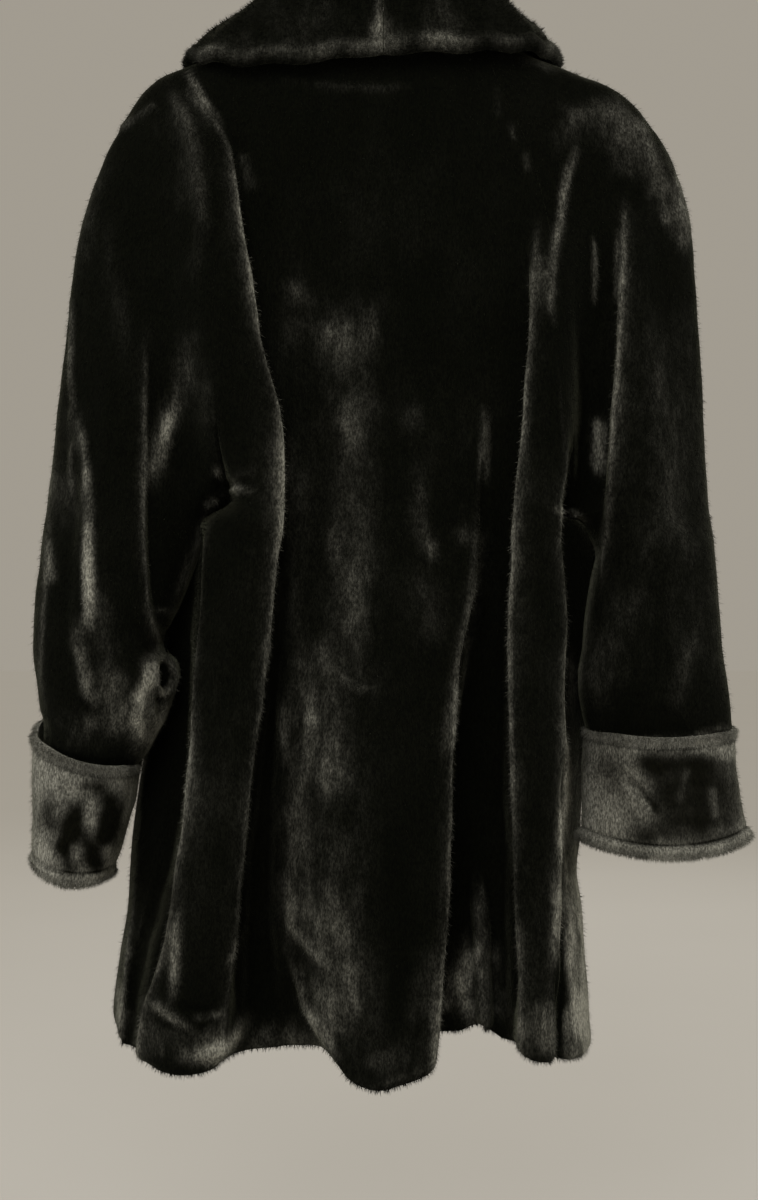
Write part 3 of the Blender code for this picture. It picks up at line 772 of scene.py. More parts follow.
# %% Marks seen from behind, on the back's left and under its collar
BACK_MARKS = [
    # painted highlights on the left tube's two edges
    (0.19, 0, 3, [(120, 920), (125, 937), (132, 943)]),
    (0.42, 2, 4.4, [(175, 904), (176, 933), (177, 957), (180, 982)]),
    # round the hem of the left tube: painted highlights, and painted shade in one crease
    (0.46, 4, 4, [(197, 976), (186, 986), (176, 994), (164, 1003)]),
    (-0.1, -4, 4, [(172, 983), (155, 988), (139, 989)]),
    (0.22, 2, 3, [(160, 992), (139, 989)]),
    (0.36, 4, 6, [(172, 1028), (145, 1024), (133, 1017), (124, 1006), (120, 990)]),
    (0.2, 0, 13, [(205, 1000), (190, 1012), (165, 1014), (140, 1006)]),
    (0.14, 0, 12, [(150, 1030), (110, 1022)]), (0.06, 0, 15, [(10, 1034), (-20, 1028)]),
    # painted highlights on the flap outside it
    (0.14, 0, 3, [(212, 824), (217, 867), (219, 898), (221, 920), (225, 947), (229, 972),
                  (229, 988), (225, 1005), (215, 1017)]),
    (0.23, 0, 6.9, [(226, 970), (222, 990)]),
    # a painted highlight on the ridge under the collar
    (0.07, 2, 4, [(83, 196), (40, 202), (0, 203), (-36, 199)]),
]
print("marks on the back's left:", len(BACK_MARKS))

# %% Marks seen from behind, down the middle of the back
BACK_MARKS += [
    # broad soft shine down the middle and on the lobe
    (0.045, 0, 46, [(36, 400), (28, 500), (30, 620), (40, 720)]),
    (0.03, 0, 30, [(-60, 520), (-62, 640)]), (0.05, 0, 34, [(50, 720), (46, 860), (40, 990)]),
    (0.03, 0, 34, [(6, 960), (0, 1030)]), (0.02, 0, 60, [(0, 300), (-20, 420)]),
    # down the middle
    (0.12, 1, 11, [(70, 377)]), (0.05, 0, 13.8, [(75, 411)]), (0.17, 2, 19, [(32, 416)]),
    (0.09, 0, 18.4, [(36, 408), (24, 430)]), (0.07, 0, 13.8, [(13, 395)]),
    (0.08, 1, 18, [(28, 447), (23, 480), (21, 512)]), (0.08, 0, 12, [(32, 486), (24, 502)]),
    (0.05, 0, 11.5, [(-26, 486)]),
    (0.07, 1, 13.8, [(80, 515), (74, 560), (74, 605), (70, 648)]),
    (0.07, 1, 20.7, [(34, 540), (26, 600), (27, 650), (30, 714)]),
    (0.05, 1, 16, [(25, 610), (23, 650)]),
    (0.09, 1, 8, [(45, 582), (42, 597)]), (0.12, 0, 9.2, [(44, 684), (43, 694)]),
    (0.15, 3, 4, [(41, 692), (32, 706), (20, 714), (10, 713)]),
    (0.12, 1, 8, [(-29, 528), (-32, 564), (-36, 584), (-43, 598)]),
    (0.11, 0, 8, [(-68, 583)]), (0.04, 0, 14, [(-38, 630), (-42, 660)]),
    (0.12, 0, 5, [(-42, 590), (-43, 600)]),
    (0.05, 0, 6, [(78, 500), (77, 560), (75, 630), (70, 690)]),
    (0.08, 0, 25, [(62, 672), (44, 698), (26, 712)]),
    (0.12, 1, 6, [(61, 710), (60, 738), (61, 760)]),
    (0.09, 0, 5, [(60, 738)]), (0.08, 0, 15, [(42, 735), (41, 770), (38, 810)]),
    (0.08, 0, 7, [(50, 780), (49, 804)]), (0.05, 0, 10, [(72, 700), (73, 780)]),
    (0.12, 1, 3, [(65, 770), (68, 790), (71, 808)]),
    # painted highlights on the soft ridge at the right of the middle
    (0.21, 3, 4, [(-87, 474), (-87, 496), (-87, 520), (-87, 538)]),
    (0.11, 2, 6, [(-80, 571), (-82, 586), (-79, 610), (-75, 643), (-71, 661), (-65, 700),
                  (-59, 734), (-54, 760), (-54, 790)]),
]
print("marks on the back, with its middle:", len(BACK_MARKS))

# %% Marks seen from behind, on the middle lobe and in the hollow at its right
BACK_MARKS += [
    # the middle lobe
    (0.14, 0, 5, [(-43, 980), (-44, 1030)]), (0.05, 0, 9, [(-28, 966), (-30, 990)]),
    (0.08, 0, 29.9, [(56, 740), (52, 830), (50, 930), (44, 1000)]),
    (0.13, 0, 11, [(75, 796), (73, 840), (76, 896)]),
    (0.15, 1, 4, [(84, 724), (84, 745), (83, 776)]),
    (0.14, 2, 4, [(62, 728), (63, 764), (61, 803)]),
    (0.09, 0, 11, [(46, 832), (36, 850)]), (0.13, 0, 11, [(80, 866), (80, 890), (78, 914)]),
    (0.23, 2, 4.4, [(77, 886), (77, 916), (63, 934), (54, 943), (44, 952)]),
    (0.11, 0, 12, [(66, 878), (62, 905), (52, 930)]), (0.06, 0, 16, [(42, 866), (38, 920)]),
    (0.12, 0, 12, [(66, 956), (54, 988), (42, 1020)]),
    (0.1, 1, 4, [(60, 950), (56, 986), (48, 1006)]),
    (0.21, 3, 3, [(81, 935), (71, 966), (64, 986), (52, 1008), (40, 1029)]),
    (0.21, 2, 3, [(71, 947), (67, 969), (60, 989), (50, 1003), (37, 1025)]),
    (0.08, 0, 11.5, [(48, 970), (40, 1000)]), (0.1, 0, 6, [(29, 950), (25, 985)]),
    (0.15, 0, 10.3, [(108, 1000), (92, 1006), (72, 1012)]),
    (0.09, 0, 10.3, [(100, 1012), (60, 1020)]),
    (-0.06, -2, 9, [(-8, 840), (-14, 900), (-16, 960), (-12, 1010)]),
    # painted highlights on the ridge in the right hollow
    (0.08, 0, 4, [(-80, 868), (-81, 899), (-85, 920), (-84, 950), (-85, 981), (-81, 999)]),
    (0.19, 1, 4, [(-81, 936), (-76, 947)]),
    (0.2, 1, 9.2, [(-56, 946), (-62, 968), (-58, 990)]), (0.22, 0, 5.8, [(-53, 981)]),
    (0.22, 0, 6.9, [(-70, 944), (-71, 954)]), (0.22, 0, 6.9, [(-71, 984), (-74, 996)]),
    (0.11, 0, 14, [(-52, 936), (-60, 960), (-56, 990)]), (0.07, 0, 12, [(-74, 930), (-78, 980)]),
    (0.13, 0, 9, [(-96, 940), (-98, 985)]),
]
print("marks on the back, with its middle lobe:", len(BACK_MARKS))

# %% Marks seen from behind, beside the right tube and near the hem
BACK_MARKS += [
    # painted highlights beside the right tube
    (0.16, 2, 11.5, [(-130, 352), (-138, 366), (-136, 384)]),
    (0.3, 1, 4, [(-146, 872), (-148, 896), (-148, 925), (-147, 948)]),
    # the strip beside the right sleeve: painted highlights, and painted shade in two thin creases
    (0.26, 0, 9.2, [(-160, 740), (-160, 790), (-158, 840), (-158, 880)]),
    (0.5, 2, 2.4, [(-150, 744), (-155, 761), (-156, 786), (-155, 812), (-151, 833), (-152, 852),
                   (-156, 876)]),
    (0.16, 0, 5, [(-160, 684), (-161, 712), (-160, 742)]),
    (0.31, 0, 2.6, [(-166, 762), (-166, 808), (-164, 838), (-163, 870), (-167, 909),
                  (-174, 960), (-178, 1003)]),
    (0.46, 0, 6, [(-157, 876), (-160, 930), (-164, 1002)]),
    (0.5, 0, 6, [(-165, 880), (-169, 940), (-175, 1015)]),
    (-0.28, -1, 2.4, [(-149, 900), (-150, 940), (-150, 975), (-150, 1000)]),
    (-0.42, -3, 2.6, [(-149, 956), (-150, 990), (-149, 1024)]),
    (0.45, 0, 7, [(-158, 990), (-160, 1024)]), (0.5, 0, 8, [(-170, 980), (-175, 1022)]),
    (0.2, 0, 10, [(-140, 990), (-140, 1020)]), (0.1, 0, 12, [(-118, 996), (-130, 1012)]),
    # painted highlights near the hem
    (0.15, 0, 2.2, [(150, 1032), (120, 1028), (100, 1018), (78, 1016)]),
    (0.24, 0, 4, [(205, 978), (186, 987), (165, 999)]),
    (0.2, 0, 5, [(-56, 950), (-66, 966), (-71, 984)]),
    (0.26, 0, 5, [(168, 1022), (144, 1019), (122, 1006), (114, 992)]),
    (0.08, 0, 4, [(40, 1044), (10, 1052), (-20, 1044), (-42, 1034)]),
]
print("marks on the back, all told:", len(BACK_MARKS))

# %% Marks seen from behind, on the left sleeve
SLEEVE_MARKS = {
    "left": [
        # painted highlights along the left sleeve's folds and edges; the dark strokes are painted
        # shade in its creases
        (0.2, 0, 8, [(241, 266), (248, 282), (254, 302)]),
        (0.38, 3, 2.4, [(264, 384), (264, 430), (264, 452), (262, 472), (264, 486)]),
        (0.12, 1, 8, [(262, 482), (259, 505)]), (0.3, 2, 3, [(257, 489), (254, 506), (252, 527),
                                                           (250, 546)]),
        (0.2, 2, 2.6, [(259, 501), (264, 514), (265, 527), (264, 548)]),
        (0.54, 3, 4.6, [(251, 530), (250, 560), (251, 582), (251, 610)]),
        (0.09, 0, 13, [(277, 536), (270, 560)]), (0.2, 0, 5, [(251, 596), (250, 616)]),
        (0.56, 3, 5, [(252, 604), (250, 630), (250, 658)]),
        (0.34, 3, 5.5, [(260, 656), (259, 676), (255, 693), (252, 714), (245, 724)]),
        (0.08, 0, 16, [(240, 640), (236, 700)]),
        (0.15, 0, 3, [(275, 447), (280, 498), (284, 559), (286, 610), (291, 671), (291, 700),
                      (287, 729)]),
        (0.2, 0, 5, [(286, 590), (282, 618)]),
        (0.3, 1, 8, [(166, 419), (172, 450), (181, 480), (190, 505), (197, 536)]),
        (0.2, 0, 5, [(179, 476), (187, 500), (193, 528)]), (0.05, 0, 12, [(160, 450), (152, 480)]),
        (0.24, 1, 6, [(189, 508), (196, 526), (202, 540)]), (0.06, 0, 12, [(249, 284), (258, 340)]),
        (0.37, 0, 5, [(144, 553), (150, 570), (159, 597), (169, 621), (178, 645)]),
        (0.25, 3, 2.6, [(172, 645), (182, 648), (194, 646)]),
        # the bunch at the elbow: painted highlights on its ridges and painted shade in its creases
        (0.4, 2, 4, [(187, 676), (174, 686), (171, 699), (174, 711), (182, 733), (190, 749),
                      (200, 766), (207, 776)]),
        (-0.2, -7, 5, [(185, 696), (185, 708)]),
        (0.62, 4, 3, [(185, 687), (193, 694), (194, 706), (188, 716), (180, 714), (176, 702),
                      (179, 690), (186, 686)]),
        (-0.1, -4, 4, [(189, 722), (189, 736)]),
        (0.21, 2, 2.6, [(196, 718), (197, 734), (190, 742), (183, 736)]),
        (0.26, 2, 5, [(203, 689), (200, 702), (195, 716)]),
        (0.56, 3, 6, [(191, 685), (198, 696), (202, 708), (208, 722), (208, 738), (207, 756),
                      (210, 772)]),
        (0.2, 0, 8, [(192, 728), (199, 752)]), (0.2, 0, 6, [(184, 722), (192, 745), (202, 766)]),
        (0.16, 0, 13.8, [(268, 744), (252, 750), (232, 750)]),
        (0.14, 0, 12.6, [(228, 716), (222, 740)]),
        (-0.2, -4, 3, [(288, 768), (262, 774), (236, 778), (214, 776)]),
        (-0.1, -2, 6, [(291, 740), (288, 754)]),
        (0, -3, 10, [(222, 600), (226, 660)]), (0, 3, 10, [(240, 690), (220, 700), (204, 690)]),
        (0.07, 2, 9.2, [(232, 330), (226, 380), (222, 430)]),
    ],
}
print("marks on the left sleeve:", len(SLEEVE_MARKS["left"]))

# %% Marks seen from behind, on the right sleeve
SLEEVE_MARKS |= {
    "right": [
        # painted highlights along the right sleeve's folds and edges
        (0.2, 3, 13, [(-160, 238), (-168, 229), (-183, 224), (-202, 231), (-222, 248),
                       (-243, 282), (-254, 313), (-261, 334)]),
        (0.15, 0, 13.8, [(-200, 250), (-209, 266)]), (0.17, 0, 11.5, [(-240, 292), (-244, 306)]),
        (0.17, 0, 10.3, [(-252, 314), (-256, 328)]),
        (0.31, 3, 2.4, [(-179, 330), (-180, 354), (-179, 385)]),
        (0.19, 2, 2.6, [(-199, 324), (-199, 354), (-198, 385)]),
        (0.3, 0, 3, [(-181, 596), (-176, 632), (-171, 665), (-167, 690), (-165, 713), (-165, 745)]),
        (0.08, 0, 14, [(-184, 650), (-180, 700), (-184, 740)]),
        (0.4, 0, 6, [(-184, 490), (-184, 524)]),
        (0.08, 0, 12, [(-286, 520), (-294, 620), (-298, 700)]),
        (0.21, 0, 2.6, [(-165, 572), (-172, 586), (-180, 600)]),
        (0.05, 0, 44, [(-236, 350), (-244, 480), (-246, 600), (-250, 720)]),
        (0.06, 2, 16, [(-236, 420), (-240, 520), (-236, 620)]),
        (0.05, 0, 16.1, [(-270, 400), (-284, 500), (-288, 600), (-286, 690)]),
        (0.05, 2, 12, [(-206, 640), (-200, 700)]), (0, -2, 12, [(-222, 560), (-214, 640)]),
        (0.06, 2, 10, [(-258, 680), (-244, 720)]),
        (0.26, 2, 3, [(-168, 748), (-175, 753), (-190, 758), (-207, 759), (-226, 756),
                      (-245, 754), (-263, 755), (-275, 750), (-288, 746), (-298, 747)]),
        (0.07, 0, 3, [(-308, 560), (-310, 640), (-312, 720)]),
    ],
}
print("marks on the right sleeve:", len(SLEEVE_MARKS["right"]))

# %% Marks seen from behind, on the cuffs and the collar
CUFF_MARKS = {
    "left": [
        (-0.42, 0, 9, [(287, 804), (284, 822), (280, 838)]),
        (-0.62, -1, 8, [(257, 808), (264, 826), (270, 845)]),
        (-0.7, -1, 10, [(233, 797), (231, 815), (232, 832), (240, 848)]),
        (-0.36, 0, 6, [(252, 795), (242, 797)]), (-0.46, 0, 7, [(272, 848), (266, 864)]),
        (-0.6, 0, 9, [(255, 850), (245, 861), (237, 868)]), (-0.2, 0, 6, [(250, 846), (256, 836)]),
        (-0.2, 0, 12, [(270, 816), (258, 838), (242, 842), (234, 816)]),
        (0.2, 1, 5, [(249, 806), (248, 818), (247, 832)]), (0.1, 0, 5, [(262, 852)]),
        (0.16, 0, 10, [(267, 785), (262, 799)]), (0.14, 0, 7, [(234, 786), (220, 788)]),
        (0.24, 0, 5, [(233, 851), (230, 862)]), (0.14, 0, 7, [(294, 838), (288, 858)]),
        (0.2, 0, 3, [(211, 790), (217, 815), (226, 858)]),
    ],
    "right": [
        (-0.5, 0, 11, [(-208, 777), (-244, 774), (-310, 779)]),
        (-0.52, 0, 13, [(-216, 796), (-262, 792), (-310, 796)]),
        (-0.5, 0, 13, [(-218, 811), (-262, 812), (-310, 812)]),
        (-0.12, 0, 9, [(-222, 774), (-234, 784)]),
        (-0.5, 0, 11, [(-222, 827), (-262, 830), (-308, 826)]),
        (-0.26, 0, 8, [(-222, 840), (-300, 841)]),
        (0.3, 0, 5, [(-210, 786), (-224, 810)]), (0.2, 0, 4, [(-280, 800), (-283, 820)]),
        (0.12, 0, 4, [(-258, 784), (-252, 806)]),
        (-0.42, -2, 3.4, [(-205, 784), (-219, 799), (-233, 817)]),
        (0.2, 1, 4, [(-201, 790), (-210, 805), (-217, 819)]),
        (0.08, 0, 9, [(-178, 796), (-188, 822)]),
        (-0.2, 0, 8, [(-192, 772), (-198, 796)]),
        (0.12, 0, 3, [(-200, 824), (-204, 836)]), (0.16, 0, 5, [(-291, 768)]),
        (0.24, 0, 3, [(-302, 766), (-304, 790), (-307, 814)]),
        (-0.2, 0, 10, [(-206, 836), (-222, 838)]),
        (-0.14, 0, 12, [(-180, 772), (-186, 786)]),
    ],
}
COLLAR_MARKS = [
    (0.12, 0, 8, [(80, 169), (66, 170)]), (0.06, 0, 9, [(150, 168), (128, 166), (100, 165)]),
    (0.06, 0, 10, [(4, 158), (-30, 160), (-70, 158)]),
    (0.2, 0, 8, [(4, 150), (3, 166)]), (0.24, 2, 3.4, [(3, 122), (3, 140), (3, 160)]),
    (0.16, 2, 4, [(-118, 146), (-130, 150), (-142, 160), (-149, 175), (-149, 185)]),
    (0.03, 0, 40, [(110, 150), (40, 150), (-60, 150), (-120, 156)]),
    (0.04, 0, 12, [(120, 138), (128, 152)]), (0.04, 0, 12, [(56, 134), (66, 156)]),
    (0.04, 0, 12, [(-50, 134), (-60, 150)]), (0.03, 0, 10, [(96, 128), (88, 150)]),
    (0.03, 0, 10, [(-88, 130), (-96, 150)]),
]
print("marks on the cuffs:", {side: len(rows) for side, rows in CUFF_MARKS.items()},
      "and on the collar:", len(COLLAR_MARKS))

# %% Marks seen from the front, on the fronts and the arms' fronts
FRONT_MARKS = {
    "left": [
        (0.2, 2, 14, [(42, 548), (36, 600), (33, 664)]), (0.16, 0, 18, [(112, 420), (106, 482)]),
        (0.14, 0, 20, [(18, 720), (16, 800)]), (0.2, 0, 14, [(120, 850), (127, 940)]),
        (0.2, 2, 7, [(176, 940), (162, 990)]), (0.16, 0, 13, [(190, 800), (197, 890)]),
        (0.1, 0, 26, [(60, 470), (58, 560)]), (0.1, 0, 24, [(160, 620), (166, 730)]),
        (0.12, 1, 9, [(96, 700), (102, 770), (110, 820)]),
        (0.2, 2, 5, [(44, 880), (38, 930), (42, 980)]),
    ],
    "right": [
        (0.2, 2, 13, [(-38, 520), (-42, 572), (-36, 624)]),
        (0.16, 0, 18, [(-100, 424), (-105, 486)]),
        (0.15, 0, 17, [(-22, 756), (-19, 826)]), (0.2, 0, 13, [(-108, 890), (-111, 966)]),
        (0.18, 2, 7, [(-46, 950), (-38, 996)]), (0.22, 0, 9, [(-160, 860), (-162, 980)]),
        (0.1, 0, 26, [(-64, 480), (-60, 560)]), (0.11, 0, 22, [(-142, 600), (-146, 700)]),
        (0.16, 2, 5, [(-110, 640), (-106, 700), (-112, 760)]),
    ],
}
ARM_MARKS = {
    "left": [
        (0.5, 4, 4, [(240, 420), (246, 500), (244, 580), (248, 660), (256, 730)]),
        (0.3, 3, 8, [(180, 400), (196, 460), (204, 540), (200, 600)]),
        (0.16, 3, 6, [(180, 640), (196, 652), (214, 650)]), (0.0, -4, 6, [(186, 664), (210, 666)]),
        (0.14, 2, 6, [(182, 684), (200, 694), (222, 690)]), (0.25, 0, 12, [(210, 250), (228, 300)]),
        (0.2, 0, 12, [(232, 720), (250, 748)]), (-0.1, -4, 3, [(200, 756), (240, 764), (286, 758)]),
    ],
    "right": [
        (0.45, 4, 4, [(-236, 380), (-240, 460), (-238, 560), (-244, 660), (-250, 730)]),
        (0.3, 3, 8, [(-190, 360), (-196, 440), (-194, 520)]),
        (0.16, 2, 7, [(-180, 600), (-196, 612), (-216, 610)]),
        (0.25, 0, 13, [(-200, 240), (-226, 286)]),
        (0.16, 0, 12, [(-270, 600), (-276, 700)]),
        (0.35, 2, 3, [(-180, 748), (-230, 752), (-290, 744)]),
    ],
}
print("marks on the fronts and the arms' fronts:",
      sum(len(rows) for group in (FRONT_MARKS, ARM_MARKS) for rows in group.values()))

# %% Marks on the cuffs' fronts, the same on both sides
CUFF_FRONT_MARKS = {
    side: [
        (0.3, 0, 9, [(sign * 290, 768), (sign * 240, 776), (sign * 200, 772)]),
        (-0.55, -1, 13, [(sign * 276, 800), (sign * 262, 816)]),
        (-0.5, -1, 11, [(sign * 222, 806), (sign * 214, 822)]),
        (0.5, 1, 6, [(sign * 246, 786), (sign * 240, 812)]),
        (-0.45, 0, 8, [(sign * 290, 846), (sign * 250, 850), (sign * 226, 846)]),
    ]
    for side, sign in SIGN.items()
}
print("marks on each cuff's front:", len(CUFF_FRONT_MARKS["left"]))

# %% [markdown]
# ## Small waves, seams and a turned hem
#
# The cloth is never quite smooth, and it sinks a little where two panels are sewn. A bump
# in the material could show both, but not at the outline. So both are moves along the
# surface direction, and so is the rounding of the hem's edge. The brows of the folds are
# found from the cloth's own bend, and a painted highlight is laid on them there, where the
# pile opens up and catches the light.

# %% Find the brows of a grid's folds
BEND_FROM, BEND_SPAN = 0.035, 0.09
LEAST_STEP = 0.2


def brows(grid, outward):
    """1 where the cloth bends tightly outwards across the panel, 0 where it is flat or hollow."""
    step = np.linalg.norm(np.gradient(grid, axis=1), axis=2) + LEAST_STEP
    bend = -np.sum(np.gradient(np.gradient(grid, axis=1), axis=1) * outward, axis=2) / step**2
    bend = (np.roll(bend, 1, 1) + 2 * bend + np.roll(bend, -1, 1)) / 4
    return ease((bend - BEND_FROM) / BEND_SPAN)


print("a brow is a bend tighter than a radius of", round(1 / BEND_FROM), "mm")

# %% [markdown]
# ## From a grid to a closed wall
#
# A real panel is pile cloth and lining with air between them. Here it is one closed
# shell: its showing side is the fine grid, its lining side has a third of the rows and
# columns, and a rim of faces joins the two along each edge. A modifier could thicken a
# sheet in one step, but then the hidden side would be as heavy as the one that shows. A
# sleeve is open down its inner side above the underarm and closed to a ring below it.

# %% Number the corners of a grid and join them up
WALL = 3.0
INNER_STEP = 3
SHARP = np.radians(60)


def numbered(rows, columns, start, ring_from):
    """Vertex numbers of a grid; a ring row's last column is its first."""
    index = np.zeros((rows, columns), int)
    for row in range(rows):
        width = columns - 1 if row >= ring_from else columns
        index[row, :width] = np.arange(start, start + width)
        if width < columns:
            index[row, -1] = index[row, 0]
        start += width
    return index, start


def quads(index, flip):
    """Faces of a numbered grid."""
    corners = (index[:-1, :-1], index[1:, :-1], index[1:, 1:], index[:-1, 1:])
    faces = np.stack([corner.ravel() for corner in corners], axis=1)
    return (faces[:, ::-1] if flip else faces).tolist()


def rim(outer, inner, flip):
    """Faces along one edge, from the fine outer row to the coarser inner one."""
    made = []
    for k in range(len(inner) - 1):
        line = list(outer[k * INNER_STEP:(k + 1) * INNER_STEP + 1])
        loop = line + [inner[k + 1], inner[k]]
        made.append([int(v) for v in (loop[::-1] if flip else loop)])
    return made


def keep_nap_and_light(data, values):
    """Stores the brushed patches and painted light on a mesh's points, where the material can read
    it.
    """
    data.attributes.new("nap_and_light", "FLOAT", "POINT").data.foreach_set("value", values)


print("lining rows for each showing row: 1 in", INNER_STEP)

# %% Build a closed wall from a grid
def wall(name, outer, inner, turn, nap_and_light, ring_from=None):
    """A closed shell: its showing side, its coarser lining side and the rims between."""
    rows, columns = outer.shape[:2]
    ring = rows if ring_from is None else ring_from
    coarse = inner[::INNER_STEP, ::INNER_STEP]
    top, count = numbered(rows, columns, 0, ring)
    coarse_ring = (ring + INNER_STEP - 1) // INNER_STEP
    under, total = numbered(*coarse.shape[:2], count, coarse_ring)
    place = np.zeros((total, 3))
    place[top.ravel()[::-1]] = outer.reshape(-1, 3)[::-1]
    place[under.ravel()[::-1]] = coarse.reshape(-1, 3)[::-1]
    flip = turn < 0
    faces = quads(top, flip) + quads(under, not flip)
    faces += rim(top[0], under[0], not flip) + rim(top[-1], under[-1], flip)
    if ring > 0:
        last, coarse_last = ring + 1, coarse_ring + 1
        faces += rim(top[:last, 0], under[:coarse_last, 0], flip)
        faces += rim(top[:last, -1], under[:coarse_last, -1], not flip)
    data = bpy.data.meshes.new(name)
    data.from_pydata((place * MM).tolist(), [], faces)
    data.validate()
    data.shade_smooth()
    data.set_sharp_from_angle(angle=SHARP)
    values = np.zeros(total, np.float32)
    values[top.ravel()[::-1]] = nap_and_light.ravel()[::-1]
    keep_nap_and_light(data, values)
    print(name, "triangles:", sum(len(face) - 2 for face in faces))
    return add_object(name, data)


print("an edge stays sharp from an angle of", round(np.degrees(SHARP)), "degrees")

# %% [markdown]
# ## Dress a panel
#
# Every panel goes through the same steps: its strokes, its small waves, its sunk seams,
# the painted highlight on its brows and, where it reaches the hem, a rounded lower edge.
# Each panel could have its own recipe, but then two that meet at a seam would come out
# unlike there. So one function does them all. Hairs will be scattered later, and each
# panel also keeps where it wants them thickest.

# %% Rows, rounded edges and hair weights
def rows_between(*stops):
    """Rows from the first stop to the last; each (drop, count) adds count rows up to it."""
    rows = [stops[0]]
    for drop, count in stops[1:]:
        rows.extend(np.linspace(rows[-1], drop, count + 1)[1:])
    return np.array(rows)


def rounded(edge, reach):
    """How far a rounded edge falls back: 1 at the edge, 0 from the reach inwards."""
    left = np.clip(1 - edge / reach, 0, 1)
    return 1 - np.sqrt(1 - left**2)


FLAT_HAIR, BROW_HAIR, HEM_HAIR = 0.35, 2.0, 3.0
FRINGE = 7.0


def edge_weight(grid, outward):
    """More hairs at the hem and on the brows of folds."""
    down = lengths(grid, 0)
    return FLAT_HAIR + BROW_HAIR * brows(grid, outward) + HEM_HAIR * (down[-1:] - down < FRINGE)


print("a rounded edge, half way in, falls back by", round(float(rounded(2.0, 4.0)), 2))

# %% Dress a grid
SEAM_SINK, SEAM_REACH = 0.25, 4.0
# how far from a seam the small waves and the brows' painted highlight have come back
WAVE_CALM, HIGHLIGHT_CALM = 12.0, 14.0
# how pale the painted highlight on a tight bend is
BEND_HIGHLIGHT = 0.08
HEM_ROLL, HEM_SINK = 9.0, 4.0


def dress(grid, shine, turn, behind, before, seed, hem_rows=True):
    """Marks, small waves, sunk seams, a rounded hem and painted brow highlights: outer and inner
    grids, nap.
    """
    outward = facing(grid) * turn
    nap_and_light, lift = nap_and_light_strokes(behind, grid, outward, 1.0)
    front_nap_and_light, front_lift = nap_and_light_strokes(before, grid, outward, -1.0)
    across = lengths(grid, 1)
    from_edge = np.minimum(across, across[:, -1:] - across)
    move = waved(lift + front_lift, grid, (0.9, 90, seed), (0.45, 34, seed + 1))
    move = move * (1 - np.exp(-from_edge / WAVE_CALM))
    move = move - SEAM_SINK * np.exp(-((from_edge / SEAM_REACH) ** 2))
    if hem_rows:
        down = lengths(grid, 0)
        move = move - HEM_SINK * rounded(down[-1:] - down, HEM_ROLL)
    outer = grid + outward * move[:, :, None]
    calm = 1 - np.exp(-from_edge / HIGHLIGHT_CALM)
    # the brow tables and the cloth's bend add a painted highlight to the nap
    nap_and_light = nap_and_light + front_nap_and_light + shine + BEND_HIGHLIGHT * brows(grid, outward) * calm
    return outer, outer - facing(outer) * turn * WALL, nap_and_light


print("a seam sinks by", SEAM_SINK, "mm")

# %% [markdown]
# ## The back
#
# The back is the one wide piece of the coat, cut whole from the neck to the hem. It could
# be made as one object for each tube, but a fold that crossed from one object to another
# would show a break in its shine. So all its long tubes are in this one grid.

# %% The back
BACK_ROWS, BACK_COLUMNS = 255, 334
BACK_SEED = 11
panels, pile_on = {}, {}

back_rows = rows_between(NECK, (HEM, BACK_ROWS))
grid, shine = evenly(read(BACK_EDGE, "left", back_rows) - SEAM / 2,
                     SEAM / 2 - read(BACK_EDGE, "right", back_rows), back_place, BACK_FOLDS,
                     back_rows, BACK_COLUMNS)
outer, inner, nap_and_light = dress(grid, shine, 1.0, SHOULDER_MARKS + BACK_MARKS, [], BACK_SEED)
panels["back"] = wall("coat_back", outer, inner, 1.0, nap_and_light)
pile_on["back"] = (outer, facing(outer), nap_and_light, edge_weight(outer, facing(outer)))

# %% [markdown]
# ## The fronts
#
# The two fronts hang edge to edge from where the collar ends. They share the back's rows,
# so the side seams meet row by row. One front could be mirrored to make the other, but
# their folds aren't the same, so each is made from its own tables. These folds are
# gentler than the back's.

# %% The fronts
FRONT_COLUMNS = 118
FRONT_SEEDS = {"left": 21, "right": 31}

for side in SIGN:
    seam = np.where(back_rows < UNDERARM[side], read(FRONT_EDGE, side, back_rows),
                    read(BACK_EDGE, side, back_rows)) - SEAM / 2
    grid, shine = evenly(SIGN[side] * read(OPENING, "reach", back_rows), SIGN[side] * seam,
                         front_place, FRONT_FOLDS, back_rows, FRONT_COLUMNS)
    outer, inner, nap_and_light = dress(grid, shine, SIGN[side], [], FRONT_MARKS[side],
                              FRONT_SEEDS[side])
    panels["front_" + side] = wall("coat_front_" + side, outer, inner, SIGN[side], nap_and_light)
    outward = facing(outer) * SIGN[side]
    pile_on["front_" + side] = (outer, outward, nap_and_light, edge_weight(outer, outward))

# %% [markdown]
# ## The sleeves
#
# A raglan sleeve runs up to the neck as a wedge between back and front. A tube bent to
# follow the arm would not fit that wedge. So the grid has a back half and a front half
# that meet along the arm's outer side. From the row where the underarm is, its two free
# edges are joined and it goes on down as a tube. It ends inside the cuff, where nobody
# sees its edge.

# %% The sleeves
SLEEVE_END = {"left": 842.0, "right": 822.0}
RING_ROW, TUBE_ROWS = 114, 75
HALF_COLUMNS = 97
SLEEVE_SEEDS = {"left": 41, "right": 51}
SLEEVE_HAIR = 0.5

